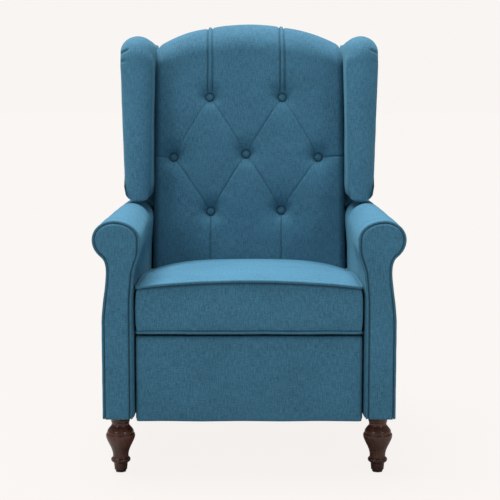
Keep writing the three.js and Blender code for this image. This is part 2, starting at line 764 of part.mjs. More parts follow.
// ---------------------------------------------------------------- wings
// Side view of a wing, drawn in by an inset in front, above and below, and by another at the rear.
function wingOutline(inset, rearInset) {
  const bottom = wingBottom + inset;
  const top = backCrown - wingTopDrop - inset;
  const reach = (z) => frontLine(z) - wingReach + inset;
  const rear = (z) => rearLine(z) - rearInset;
  const shoulder = top - wingRound * 1.4;
  const rearTop = Math.min(top, backBottom + backRearRise);
  const nape = rearTop - wingRearRound;
  const outline = new THREE.Shape();
  outline.moveTo(reach(bottom + wingToe) + wingToe, bottom);
  outline.lineTo(rear(bottom), bottom);
  outline.lineTo(rear(nape), nape);
  outline.quadraticCurveTo(rear(rearTop), top, rear(rearTop) - wingRearRound * 1.7, top);
  outline.lineTo(reach(top) + wingRound * 1.6, top);
  outline.quadraticCurveTo(reach(top) + wingToe / 2, top, reach(shoulder), shoulder);
  outline.lineTo(reach(bottom + wingToe), bottom + wingToe);
  return outline;
}

// Front view of a wing on the right: wider at the top than at the arm, with a rounded top.
function wingFace() {
  const top = backCrown - wingTopDrop;
  const outline = new THREE.Shape();
  outline.moveTo(wingInner, wingBottom);
  outline.lineTo(wingInner + wingThicknessLow - wingToe / 2, wingBottom);
  outline.lineTo(wingInner + wingThicknessLow, wingBottom + wingToe);
  outline.lineTo(wingInner + wingThicknessTop, top - wingShoulder);
  outline.quadraticCurveTo(wingInner + wingThicknessTop, top, wingInner + wingThicknessTop * 0.55, top);
  outline.quadraticCurveTo(wingInner, top, wingInner, top - wingShoulder * 0.6);
  return outline;
}

function wingFrame(side, play) {
  const x0 = wingFrameX - play;
  const x1 = wingFrameX + wingFrameThickness + play;
  return acrossX(wingOutline(wingFrameInset - play, wingRearInset - play), side * x0, side * x1, 5);
}

for (const { hand, side } of sides) {
  const face = mirrored(wingFace().getPoints(6), side);
  const x0 = side * (wingInner - 1);
  const x1 = side * (wingInner + wingThicknessTop + 1);
  const body = common(acrossX(wingOutline(0, wingRearInset), x0, x1, 6), alongY(face, front, -front));
  const notches = tieRails.map((rail) => tieRail(rail, wingFrameX + 1, seatedGap));
  add(back, `wing_pad_${hand}`, fabric, cut(body, wingFrame(side, 2 * seatedGap), ...notches));
  add(back, `wing_frame_${hand}`, pine, wingFrame(side, 0));
  add(back, `recline_bracket_${hand}`, steel, reclineBracket(side));
}

// ---------------------------------------------------------------- footrest
const footHalf = halfSeat - seatRunningGap;

function footPad() {
  const rear = boardFront - seatedGap;
  const outline = new THREE.Shape();
  outline.moveTo(footFace + footRound, footBottom);
  outline.lineTo(rear, footBottom);
  outline.lineTo(rear, footTop);
  outline.lineTo(footFace + footRound, footTop);
  outline.quadraticCurveTo(footFace, footTop, footFace, footTop - footRound);
  outline.lineTo(footFace, footBottom + footRound);
  outline.quadraticCurveTo(footFace, footBottom, footFace + footRound, footBottom);
  return acrossX(outline, -footHalf, footHalf, 3);
}

// Upper link: turns with the torque tube, on a stub in the seat rail, and carries the knee rivet.
function upperLink(side) {
  const plate = acrossX(link(footPivot, knee, linkRadius, []), ...layer(side, 0));
  const stub = barX(pivotRadius, side * (layers[0] + 1), side * (railFace + railPlate), footPivot);
  return join(plate, stub, rivet(side, layers[0], knee));
}

// Lower link: rides on the knee rivet and carries the bracket rivet.
function lowerLink(side) {
  const plate = acrossX(link(knee, bracketPivot, linkRadius, [knee]), ...layer(side, 1));
  return join(plate, rivet(side, layers[1], bracketPivot));
}

// Angle bracket on the footrest board: a flange against the board and a plate with the pivot hole.
function footBracket(side) {
  const [inner, outer] = layer(side, 2);
  const near = boardRear + seatedGap;
  const low = bracketPivot.y - footBracketHeight + linkRadius;
  const foot = new THREE.Vector2(near + linkRadius, low + linkRadius);
  const plate = acrossX(link(foot, bracketPivot, linkRadius, [bracketPivot]), inner, outer);
  const innerEdge = outer - side * footBracketWidth;
  const flange = box(outer, innerEdge, near, near + railPlate, low, low + footBracketHeight - linkRadius);
  return join(plate, flange);
}

// Tube between the two upper links, so that both sides move as one.
function torqueTube() {
  const reach = layers[0] - seatedGap;
  return barX(torqueTubeRadius, -reach, reach, footPivot);
}

add(footrest, "footrest_pad", fabric, footPad());
const boardHalf = footHalf - footBoardInset;
const [boardLow, boardHigh] = [footBottom + footBoardInset, footTop - footBoardInset];
const board = box(-boardHalf, boardHalf, boardFront, boardRear, boardLow, boardHigh);
add(footrest, "footrest_board", pine, board);
add(footrest, "footrest_torque_tube", steel, torqueTube());
for (const { hand, side } of sides) {
  add(footrest, `footrest_upper_link_${hand}`, steel, upperLink(side));
  add(footrest, `footrest_lower_link_${hand}`, steel, lowerLink(side));
  add(footrest, `footrest_bracket_${hand}`, steel, footBracket(side));
}

export default chair;
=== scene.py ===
import math

import bmesh
import bpy
import numpy as np
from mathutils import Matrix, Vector, noise


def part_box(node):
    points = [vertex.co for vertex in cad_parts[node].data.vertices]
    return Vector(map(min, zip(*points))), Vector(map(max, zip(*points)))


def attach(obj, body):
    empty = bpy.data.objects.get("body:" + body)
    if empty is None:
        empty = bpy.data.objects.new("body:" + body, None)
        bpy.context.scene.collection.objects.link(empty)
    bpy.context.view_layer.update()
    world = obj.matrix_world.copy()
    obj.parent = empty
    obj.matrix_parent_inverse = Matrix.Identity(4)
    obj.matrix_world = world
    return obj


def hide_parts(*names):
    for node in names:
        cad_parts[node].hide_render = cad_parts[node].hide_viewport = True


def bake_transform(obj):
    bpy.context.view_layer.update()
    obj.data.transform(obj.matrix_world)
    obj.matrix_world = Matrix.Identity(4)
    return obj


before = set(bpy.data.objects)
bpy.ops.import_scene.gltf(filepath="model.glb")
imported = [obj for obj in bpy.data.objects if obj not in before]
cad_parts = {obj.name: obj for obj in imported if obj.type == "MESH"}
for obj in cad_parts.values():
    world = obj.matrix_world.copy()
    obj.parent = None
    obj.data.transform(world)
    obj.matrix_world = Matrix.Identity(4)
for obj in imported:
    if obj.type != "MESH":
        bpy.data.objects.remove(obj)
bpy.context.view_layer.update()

# Push-back recliner armchair. Metres, +Z up, -Y to the front. Places come from the CAD nodes' boxes.
MM = 0.001
SIDES = (("left", -1), ("right", 1))


def node_box(name):
    low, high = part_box(name)
    return np.array(low), np.array(high)


# ---- places taken from the frame
ARM_LOW, ARM_HIGH = node_box("arm_pad_right")
FACING_LOW = node_box("arm_facing_right")[0]
SEAT_LOW, SEAT_HIGH = node_box("seat_cushion")
BACK_LOW, BACK_HIGH = node_box("back_cushion")
SHELL_LOW = node_box("back_shell")[0]
WING_LOW, WING_HIGH = node_box("wing_pad_right")
FOOT_LOW, FOOT_HIGH = node_box("footrest_pad")
APRON_LOW, APRON_HIGH = node_box("rear_apron")

FRONT = FACING_LOW[1]
PAD_FRONT = ARM_LOW[1]
ARM_REAR = ARM_HIGH[1]
ARM_BOTTOM = ARM_LOW[2]
ARM_TOP = ARM_HIGH[2]
ROLL_RADIUS = 48 * MM
ROLL_X = ARM_HIGH[0] - ROLL_RADIUS
ROLL_Z = ARM_TOP - ROLL_RADIUS
HALF_SEAT = 263 * MM
ARM_OUTER = HALF_SEAT + 71 * MM
WAIST_Z = ROLL_Z - 165 * MM

LEAN = math.radians(15)
BACK_BOTTOM = BACK_LOW[2]
BACK_CROWN = BACK_HIGH[2]
BACK_HALF = BACK_HIGH[0]
BACK_SHOULDER = BACK_CROWN - 64 * MM
BACK_THICKNESS = 165 * MM
REAR_AT_BOTTOM = ARM_REAR + 10 * MM


def rear_line(z):
    return REAR_AT_BOTTOM + (z - BACK_BOTTOM) * math.tan(LEAN)


def front_line(z):
    return rear_line(z) - BACK_THICKNESS


# ---- number helpers
def smooth(a, b, x):
    t = np.clip((x - a) / (b - a), 0, 1)
    return t * t * (3 - 2 * t)


def hump(x, width):
    """A bump round 0; width is in millimetres."""
    return np.exp(-((x / (width * MM)) ** 2))


def ripple(points, size, shift=0.0, stretch=(1, 1, 1)):
    """Smooth noise between -1 and 1 at each point; size is one lump's length in millimetres."""
    scaled = points / (size * MM) * np.array(stretch) + shift
    return np.array([noise.noise(Vector(p)) for p in scaled])


def cubic(p0, p1, p2, p3, count):
    t = np.linspace(0, 1, count)[:, None]
    p0, p1, p2, p3 = (np.array(p, float) for p in (p0, p1, p2, p3))
    return p0 * (1 - t) ** 3 + 3 * p1 * t * (1 - t) ** 2 + 3 * p2 * t ** 2 * (1 - t) + p3 * t ** 3


def resample(points, step, closed=False):
    points = np.array(points, float)
    if closed:
        points = np.vstack([points, points[:1]])
    lengths = np.r_[0, np.cumsum(np.linalg.norm(np.diff(points, axis=0), axis=1))]
    count = max(4, int(round(lengths[-1] / step)))
    at = np.linspace(0, lengths[-1], count + 1)
    made = np.stack([np.interp(at, lengths, points[:, k]) for k in range(points.shape[1])], axis=1)
    return made[:-1] if closed else made


def relax(points, rounds, closed=True):
    points = points.copy()
    for _ in range(rounds):
        middle = (np.roll(points, 1, axis=0) + np.roll(points, -1, axis=0)) / 2
        if not closed:
            middle[0], middle[-1] = points[0], points[-1]
        points = points * 0.5 + middle * 0.5
    return points


def outward(outline):
    """Unit normals of a closed 2-D outline, pointing out of it."""
    along = np.roll(outline, -1, axis=0) - np.roll(outline, 1, axis=0)
    along /= np.linalg.norm(along, axis=1)[:, None]
    normal = np.stack([along[:, 1], -along[:, 0]], axis=1)
    x, y = outline[:, 0], outline[:, 1]
    area = np.sum(x * np.roll(y, -1) - np.roll(x, -1) * y)
    return normal if area > 0 else -normal


def rounded_axis(low, high, r_low, r_high, step):
    """Places along a profile with a quarter circle at each end, and how far each lies back."""
    def quarter(radius):
        count = max(3, int(round(radius * math.pi / 2 / step)) + 1)
        angle = np.linspace(0, math.pi / 2, count)
        return radius * np.sin(angle), radius * (1 - np.cos(angle))
    count = max(3, int(round((high - low - r_low - r_high) / step)))
    flat = np.linspace(low + r_low, high - r_high, count)
    out_low, drop_low = quarter(r_low)
    out_high, drop_high = quarter(r_high)
    place = np.r_[(low + r_low - out_low)[::-1], flat[1:-1], high - r_high + out_high]
    drop = np.r_[drop_low[::-1], np.zeros(len(flat) - 2), drop_high]
    return place, drop


# ---- mesh helpers
scene = bpy.context.scene
link = scene.collection.objects.link


def make(name, shape, body, material, replaces=(), painted_crease_shade=None):
    """The last argument says how far each of the first points is darkened by painted shade in a seam or
    fold, from 0 to 1.
    """
    points, faces = shape
    mesh = bpy.data.meshes.new(name)
    mesh.from_pydata([tuple(p) for p in points], [], [tuple(int(i) for i in f) for f in faces])
    if painted_crease_shade is not None:
        values = np.zeros(len(points), np.float32)
        values[: len(painted_crease_shade)] = painted_crease_shade
        mesh.attributes.new("painted_crease_shade", "FLOAT", "POINT").data.foreach_set("value", values)
    shaped = bmesh.new()
    shaped.from_mesh(mesh)
    bmesh.ops.remove_doubles(shaped, verts=shaped.verts, dist=1e-6)
    bmesh.ops.dissolve_degenerate(shaped, edges=shaped.edges, dist=1e-7)
    bmesh.ops.recalc_face_normals(shaped, faces=shaped.faces)
    shaped.to_mesh(mesh)
    shaped.free()
    mesh.polygons.foreach_set("use_smooth", [True] * len(mesh.polygons))
    mesh.materials.append(material)
    piece = bpy.data.objects.new(name, mesh)
    link(piece)
    if body is not None:
        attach(piece, body)
    if replaces:
        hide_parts(*replaces)
    return piece


def quads(*corners):
    """Faces from four arrays of point numbers."""
    return np.stack(corners, axis=-1).reshape(-1, 4).tolist()


def ring_faces(count, n):
    """Faces between neighbours in a row of count closed rings of n points each."""
    i = (np.arange(count - 1) * n)[:, None]
    j = np.arange(n)[None, :]
    k = (j + 1) % n
    return quads(i + j, i + k, i + n + k, i + n + j)


def loft(rings):
    """Closed rings of equal length joined in order, with one flat face over each end."""
    rings = [np.array(r, float) for r in rings]
    n = len(rings[0])
    points = np.vstack(rings)
    ends = [list(range(n)), list(range(len(points) - n, len(points)))]
    return points, ring_faces(len(rings), n) + ends


def rim(grid):
    """The border of a grid of points, in order round it."""
    return np.vstack([grid[0, :-1], grid[:-1, -1], grid[-1, :0:-1], grid[:0:-1, 0]])


def grid_with_skirt(grid, loops):
    """A grid of points closed by loops that follow its border, and one flat face over the last loop."""
    rows, columns, _ = grid.shape
    index = np.arange(rows * columns).reshape(rows, columns)
    faces = quads(index[:-1, :-1], index[:-1, 1:], index[1:, 1:], index[1:, :-1])
    border = np.r_[index[0, :-1], index[:-1, -1], index[-1, :0:-1], index[:0:-1, 0]]
    points = [grid.reshape(-1, 3)]
    total = rows * columns
    last = border
    for loop in loops:
        new = total + np.arange(len(border))
        points.append(loop)
        total += len(border)
        faces += quads(last, np.roll(last, -1), np.roll(new, -1), new)
        last = new
    faces.append(last.tolist())
    return np.vstack(points), faces


def drawn_back(edge, rear, shares):
    """Copies of a border moved towards the depth rear, one for each share of the way."""
    loops = []
    for f in shares:
        loop = edge.copy()
        loop[:, 1] = edge[:, 1] * (1 - f) + rear * f
        loops.append(loop)
    return loops


def grid_normals(grid):
    normal = np.cross(np.gradient(grid, axis=1), np.gradient(grid, axis=0))
    return normal / np.maximum(np.linalg.norm(normal, axis=2, keepdims=True), 1e-12)


TUBE_TIP = 0.6  # size and reach of an open end's last ring, as shares of the radius


def tube(path, radius, sides, closed=False):
    """A round cord along a smooth path, with rounded ends where it is open."""
    path = np.array(path, float)
    if closed:
        along = np.roll(path, -1, axis=0) - np.roll(path, 1, axis=0)
    else:
        along = np.gradient(path, axis=0)
    along /= np.linalg.norm(along, axis=1)[:, None]
    reference = np.array([0.0, 1.0, 0.0] if abs(along[0][1]) < 0.9 else [1.0, 0.0, 0.0])
    normal = np.cross(along[0], reference)
    normal /= np.linalg.norm(normal)
    rings = []
    angles = np.linspace(0, 2 * math.pi, sides, endpoint=False)
    for point, direction in zip(path, along):
        normal = normal - direction * np.dot(normal, direction)
        normal /= np.linalg.norm(normal)
        other = np.cross(direction, normal)
        circle = np.cos(angles)[:, None] * normal + np.sin(angles)[:, None] * other
        rings.append(point + radius * circle)
    if closed:
        turned = [np.linalg.norm(np.roll(rings[0], s, axis=0) - rings[-1], axis=1).sum()
                  for s in range(sides)]
        first = (np.arange(sides) - int(np.argmin(turned))) % sides
        last = (len(rings) - 1) * sides + np.arange(sides)
        joined = quads(last, np.roll(last, -1), np.roll(first, -1), first)
        return np.vstack(rings), ring_faces(len(rings), sides) + joined
    start = path[0] + (rings[0] - path[0]) * TUBE_TIP - along[0] * radius * TUBE_TIP
    end = path[-1] + (rings[-1] - path[-1]) * TUBE_TIP + along[-1] * radius * TUBE_TIP
    return loft([start] + rings + [end])


def lathe(profile, centre, sides, axis_up=(0, 0, 1)):
    """Turned shape: profile holds (radius, height) from foot to head. axis_up is its direction."""
    up = Vector(axis_up).normalized()
    across = up.orthogonal().normalized()
    other = up.cross(across)
    angles = np.linspace(0, 2 * math.pi, sides, endpoint=False)
    circle = np.cos(angles)[:, None] * np.array(across) + np.sin(angles)[:, None] * np.array(other)
    return loft([np.array(centre) + circle * r + np.array(up) * h for r, h in profile])


CLOTH_FRAMES = 20
CLOTH_QUALITY = 4


def inflate(piece, held, pressure, cap):
    """Fills the piece as cloth under pressure, with its seams held; no point moves further than cap."""
    mesh = piece.data
    before = np.empty(len(mesh.vertices) * 3)
    mesh.vertices.foreach_get("co", before)
    trial = bpy.data.objects.new("cloth_trial", mesh.copy())
    link(trial)
    seams = trial.vertex_groups.new(name="seams")
    seams.add([int(i) for i in np.flatnonzero(held)], 1.0, "REPLACE")
    cloth = trial.modifiers.new("cloth", "CLOTH")
    cloth.settings.vertex_group_mass = "seams"
    cloth.settings.use_pressure = True
    cloth.settings.uniform_pressure_force = pressure
    cloth.settings.effector_weights.gravity = 0
    cloth.settings.quality = CLOTH_QUALITY
    cloth.point_cache.frame_start, cloth.point_cache.frame_end = 1, CLOTH_FRAMES
    for step in range(1, CLOTH_FRAMES + 1):
        scene.frame_set(step)
    filled = trial.evaluated_get(bpy.context.evaluated_depsgraph_get())
    after = np.empty(len(before))
    filled.data.vertices.foreach_get("co", after)
    scene.frame_set(1)
    move = (after - before).reshape(-1, 3)
    length = np.maximum(np.linalg.norm(move, axis=1), 1e-9)
    move *= (cap * np.tanh(length / cap) / length)[:, None]
    mesh.vertices.foreach_set("co", before + move.ravel())
    mesh.update()
    shape = trial.data
    bpy.data.objects.remove(trial)
    bpy.data.meshes.remove(shape)


# ---- materials
class Nodes:
    """Short way to build a material's node tree."""

    def __init__(self, name):
        self.material = bpy.data.materials.new(name)
        self.material.use_nodes = True
        self.tree = self.material.node_tree
        self.shader = self.tree.nodes["Principled BSDF"]

    def new(self, kind, **settings):
        node = self.tree.nodes.new(kind)
        for key, value in settings.items():
            setattr(node, key, value)
        return node

    def link(self, a, b):
        self.tree.links.new(a, b)

    def put(self, node, **values):
        """Fills a node's sockets with numbers, colours or outputs; _ in a key stands for a space."""
        for key, value in values.items():
            self.fill(node.inputs[key.replace("_", " ")], value)
        return node

    def fill(self, socket, value):
        if isinstance(value, (int, float)):
            socket.default_value = value
        elif isinstance(value, tuple):
            socket.default_value = (*value, 1)
        elif value is not None:
            self.link(value, socket)

    def math(self, operation, a, b=None, clamp=False):
        node = self.new("ShaderNodeMath", operation=operation, use_clamp=clamp)
        self.fill(node.inputs[0], a)
        self.fill(node.inputs[1], b)
        return node.outputs[0]

    def mix(self, factor, a, b):
        node = self.new("ShaderNodeMix", data_type="RGBA")
        for number, value in ((0, factor), (6, a), (7, b)):
            self.fill(node.inputs[number], value)
        return node.outputs[2]

    def choose(self, factor, a, b):
        """a where factor is 0, b where it is 1, for plain numbers."""
        node = self.new("ShaderNodeMix", data_type="FLOAT")
        for number, value in ((0, factor), (2, a), (3, b)):
            self.fill(node.inputs[number], value)
        return node.outputs[0]

    def noise(self, vector, scale, detail, rough):
        node = self.new("ShaderNodeTexNoise")
        self.put(node, Scale=scale, Detail=detail, Roughness=rough, Vector=vector)
        return node.outputs["Fac"]

    def yarn(self, across, along, layer, rough):
        """Noise stretched along threads: each coordinate comes with its scale."""
        node = self.new("ShaderNodeCombineXYZ")
        for socket, (value, scale) in zip(node.inputs, (across, along)):
            self.link(self.math("MULTIPLY", value, scale), socket)
        node.inputs[2].default_value = layer
        return self.noise(node.outputs[0], 1.0, 3.0, rough)

    def ramp(self, value, low, high):
        node = self.new("ShaderNodeMapRange")
        self.put(node, Value=value, From_Min=low, From_Max=high)
        return node.outputs["Result"]

    def bump(self, height, strength, distance):
        node = self.new("ShaderNodeBump")
        self.put(node, Strength=strength, Distance=distance, Height=height)
        self.link(node.outputs[0], self.shader.inputs["Normal"])


LEVEL_BIAS = 1.15  # how much more a face looks up than sideways to count as level
THREAD = 1.5 * MM
CONTRAST = 0.46  # how far the two tones of yarn lie from the cloth's colour
PAINTED_CREASE_SHADE = 0.22  # painted shade: the cloth's colour deep in a seam or fold


def surface_axes(n):
    """Two coordinates in metres that run across and along the cloth, whichever way it faces."""
    place = n.new("ShaderNodeTexCoord")
    at = n.new("ShaderNodeSeparateXYZ")
    n.link(place.outputs["Object"], at.inputs[0])
    facing = n.new("ShaderNodeSeparateXYZ")
    n.link(place.outputs["Normal"], facing.inputs[0])
    nx, ny, nz = (n.math("ABSOLUTE", facing.outputs[axis]) for axis in range(3))
    level = n.math("GREATER_THAN", nz, n.math("MULTIPLY", n.math("MAXIMUM", nx, ny), LEVEL_BIAS))
    sideways = n.math("GREATER_THAN", nx, ny)
    across = n.choose(sideways, at.outputs[0], at.outputs[1])
    across = n.choose(level, across, at.outputs[0])
    along = n.choose(level, at.outputs[2], at.outputs[1])
    return place.outputs["Object"], across, along


def linen(name, colour, slub=1.0):
    """Heathered plain-weave linen: two tones of yarn, slubs both ways and a soft sheen."""
    n = Nodes(name)
    whole, across, along = surface_axes(n)
    waves = [n.math("SINE", n.math("MULTIPLY", way, 2 * math.pi / THREAD)) for way in (across, along)]
    weave = n.math("MULTIPLY", *waves)
    warp = n.yarn((across, 420.0), (along, 55.0), 3.0, 0.62)
    weft = n.yarn((across, 70.0), (along, 480.0), 9.0, 0.6)
    speck = n.noise(whole, 360.0, 2.0, 0.65)
    cloud = n.noise(whole, 9.0, 2.0, 0.5)
    tone = n.math("ADD", n.math("MULTIPLY", warp, 0.42), n.math("MULTIPLY", weft, 0.28))
    tone = n.math("ADD", tone, n.math("MULTIPLY", speck, 0.3))
    tone = n.ramp(tone, 0.36, 0.64)
    patches = n.math("MULTIPLY", n.ramp(cloud, 0.3, 0.7), 0.14)
    tone = n.math("ADD", n.math("MULTIPLY", tone, 0.86), patches)
    dark, light, painted_crease_colour = (tuple(c * share for c in colour)
                          for share in (1 - CONTRAST * slub, 1 + CONTRAST * slub, PAINTED_CREASE_SHADE))
    # Painted shade: the colour is drawn towards a dark copy of the cloth where the mesh's attribute
    # marks a seam, fold or groove.
    painted_crease_shade = n.new("ShaderNodeAttribute", attribute_name="painted_crease_shade").outputs["Fac"]
    n.put(n.shader, Base_Color=n.mix(painted_crease_shade, n.mix(tone, dark, light), painted_crease_colour),
          Roughness=n.math("ADD", n.math("MULTIPLY", tone, -0.1), 0.93), Specular_IOR_Level=0.2,
          Sheen_Weight=0.13, Sheen_Roughness=0.45, Sheen_Tint=(0.3, 0.8, 1.0))
    slubs = n.math("ADD", warp, n.math("MULTIPLY", weft, 0.8))
    n.bump(n.math("ADD", n.math("MULTIPLY", weave, 0.22), slubs), 0.35, 0.6 * MM)
    return n.material


def wood(name, dark, light, gloss, scale, grain, coat=0.0):
    """Wood with pores, drawn out where grain is small; gloss is its least roughness."""
    n = Nodes(name)
    place = n.new("ShaderNodeTexCoord")
    stretch = n.new("ShaderNodeMapping")
    stretch.inputs["Scale"].default_value = grain
    n.link(place.outputs["Object"], stretch.inputs["Vector"])
    streaks = n.noise(stretch.outputs[0], scale, 5.0, 0.6)
    pores = n.noise(stretch.outputs[0], scale * 7, 2.0, 0.7)
    figure = n.noise(place.outputs["Object"], scale * 0.14, 2.0, 0.5)
    tone = n.math("ADD", n.math("MULTIPLY", streaks, 0.75), n.math("MULTIPLY", figure, 0.35))
    tone = n.ramp(tone, 0.38, 0.72)
    tone = n.math("SUBTRACT", tone, n.math("MULTIPLY", n.ramp(pores, 0.56, 0.74), 0.35), clamp=True)
    n.put(n.shader, Base_Color=n.mix(tone, dark, light),
          Roughness=n.math("ADD", n.math("MULTIPLY", pores, 0.14), gloss),
          Coat_Weight=coat, Coat_Roughness=0.07, Specular_IOR_Level=0.2)
    n.bump(streaks, 0.12, 0.3 * MM)
    return n.material


def metal(name, colour, worn, rough, metallic):
    """Painted or bare steel with fine mottling and rubbed patches."""
    n = Nodes(name)
    place = n.new("ShaderNodeTexCoord").outputs["Object"]
    fine = n.noise(place, 900.0, 2.0, 0.6)
    patch = n.noise(place, 38.0, 4.0, 0.6)
    n.put(n.shader, Base_Color=n.mix(n.ramp(patch, 0.62, 0.74), colour, worn),
          Roughness=n.math("ADD", n.math("MULTIPLY", fine, 0.22), rough), Metallic=metallic)
    n.bump(fine, 0.15, 0.15 * MM)
    return n.material


CLOTH = (0.031, 0.108, 0.170)
blue = linen("blue_linen_weave", CLOTH)
piping = linen("blue_linen_piping", tuple(c * 0.93 for c in CLOTH), 0.8)
WALNUT_DARK = (0.013, 0.0034, 0.0013)
WALNUT_LIGHT = (0.066, 0.0165, 0.0065)
walnut = wood("dark_walnut_lacquer", WALNUT_DARK, WALNUT_LIGHT, 0.46, 150.0, (1, 1, 0.09), coat=0.35)
pine = wood("frame_pine", (0.44, 0.26, 0.12), (0.68, 0.46, 0.25), 0.55, 70.0, (1, 0.09, 1))
steel = metal("black_steel_paint", (0.012, 0.013, 0.014), (0.05, 0.05, 0.052), 0.32, 0.35)
wire = metal("spring_wire_steel", (0.42, 0.43, 0.45), (0.3, 0.28, 0.26), 0.22, 1.0)
nylon = metal("black_nylon", (0.012, 0.012, 0.013), (0.02, 0.02, 0.021), 0.45, 0.0)


def covered(name, shape, body, replaces=(), painted_crease_shade=None, material=blue):
    """A piece covered in the chair's linen."""
    return make(name, shape, body, material, replaces, painted_crease_shade)


# The first words found in a node's name give its material; steel is what is left.
BY_NAME = (
    (("side_frame", "cross_rail", "seat_frame", "back_frame", "wing_frame", "footrest_board"), pine),
    (("front_leg", "rear_leg"), walnut),
    (("seat_spring", "return_spring"), wire),
    (("glide",), nylon),
    (("arm_", "_cushion", "back_shell", "wing_pad", "footrest_pad", "rear_apron", "tuft_button"), blue),
)
for node_name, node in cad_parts.items():
    chosen = next((m for words, m in BY_NAME if any(word in node_name for word in words)), steel)
    for material_slot in node.material_slots:
        material_slot.material = chosen

# ---- arms
ARM_STEP = 3.6 * MM
ARM_HANG = 4.5 * MM  # cloth below the pad
ARM_SHOULDER = 454.7 * MM  # where the inner face starts to lean into the roll
NECK_ANGLE = math.radians(55)  # where the roll ends, below its centre's level
SWELL_END = 420  # millimetres behind the front where the roll's wider front has faded out


def arm_outline(inner, outer, radius, bottom, straight_top):
    """Front view of the right arm, from its inner bottom corner over the roll to the outer one."""
    neck_x = ROLL_X + radius * math.cos(NECK_ANGLE)
    neck_z = ROLL_Z - radius * math.sin(NECK_ANGLE)
    ease = (ROLL_Z - straight_top) * 0.4
    roll = np.linspace(math.pi, -NECK_ANGLE, 80)
    parts = [
        [(inner, bottom)],
        cubic((inner, straight_top), (inner, straight_top + ease),
              (ROLL_X - radius, ROLL_Z - ease), (ROLL_X - radius, ROLL_Z), 40),
        np.stack([ROLL_X + radius * np.cos(roll), ROLL_Z + radius * np.sin(roll)], axis=1),
        cubic((neck_x, neck_z), (neck_x - 24 * MM, neck_z - 20 * MM),
              (outer - 4 * MM, WAIST_Z + 50 * MM), (outer, WAIST_Z - 20 * MM), 40),
        [(outer, bottom)],
    ]
    return np.vstack(parts)


ROLL_SWELL = 11 * MM
ROLL_FALL = 5 * MM


def front_roll(x, z, radius, share):
    """The roll's front end is wider inward and a little lower; share fades this out behind it."""
    inner = np.clip((ROLL_X - x) / radius, 0, 1) * smooth(ROLL_Z - 80 * MM, ROLL_Z - 22 * MM, z)
    upper = np.clip((z - ROLL_Z) / radius, 0, 1)
    return x - ROLL_SWELL * inner * share, z - ROLL_FALL * upper * share


def arm_pad(hand, side):
    outline = arm_outline(HALF_SEAT, ARM_OUTER, ROLL_RADIUS, ARM_BOTTOM - ARM_HANG, ARM_SHOULDER)
    outline = relax(resample(outline, ARM_STEP, closed=True), 3)
    normal = outward(outline)
    length = (ARM_REAR - PAD_FRONT) / MM
    # Distance behind the front and how far the outline is drawn in there, both in millimetres.
    stations = [(0.0, 5.0), (0.3, 2.6), (2.0, 1.3), (5.0, 0.5), (9.0, 0.1)]
    stations += [(y, 0.0) for y in np.linspace(14, length - 14, 112)]
    stations += [(length - 8, 0.2), (length - 4, 0.9), (length - 1.5, 2.2)]
    stations += [(length - 0.3, 4.2), (length, 7.0)]
    rings = []
    for along, inset in stations:
        ring = outline - normal * inset * MM
        y = PAD_FRONT + along * MM
        fading = smooth(SWELL_END, 30, along)
        wide, tall = front_roll(ring[:, 0], ring[:, 1], ROLL_RADIUS, fading)
        upper = np.clip((tall - ROLL_Z) / ROLL_RADIUS, 0, 1)
        tall = tall + ROLL_FALL * 0.5 * upper * smooth(30, 60, along) * fading
        points = np.stack([side * wide, np.full(len(ring), y), tall], axis=1)
        soft = smooth(2, 40, along) * smooth(2, 40, length - along)
        lumps = ripple(points, 95, side * 7.3) * 1.1 + ripple(points, 34, side * 3.1) * 0.35
        seam = hump(ring[:, 1] - (ROLL_Z - 62 * MM), 2.2) * (ring[:, 0] > ROLL_X + 8 * MM)
        hem = hump(ring[:, 1] - (ARM_BOTTOM + 9 * MM), 1.8) * (ring[:, 0] > ROLL_X)
        push = lumps * soft - 1.3 * seam - 0.9 * hem
        points[:, 0] += side * normal[:, 0] * push * MM
        points[:, 2] += normal[:, 1] * push * MM
        rings.append(points)
    covered(f"arm_upholstery_{hand}", loft(rings), "base", (f"arm_pad_{hand}",))


FACING_INNER = FACING_LOW[0]
FACING_MARGIN = 5.5 * MM
FACING_OUTER = ARM_OUTER - FACING_MARGIN
FACING_RADIUS = ROLL_RADIUS - FACING_MARGIN
FACING_EDGE = 7.0 * MM
FACING_SWELL = 9 * MM


def facing_outline(bottom, grow=0.0):
    """The front panel's border: it swells into the roll on both sides and is narrower below it."""
    line = arm_outline(FACING_INNER - grow, FACING_OUTER + grow, FACING_RADIUS + grow, bottom, WAIST_Z)
    line = resample(line, 2 * MM)
    inner_side = smooth(ROLL_X, ROLL_X - 20 * MM, line[:, 0])
    line[:, 0], line[:, 1] = front_roll(line[:, 0], line[:, 1], FACING_RADIUS, 1.0)
    line[:, 0] += FACING_SWELL * inner_side * smooth(ROLL_Z - 20 * MM, WAIST_Z + 8 * MM, line[:, 1])
    return line


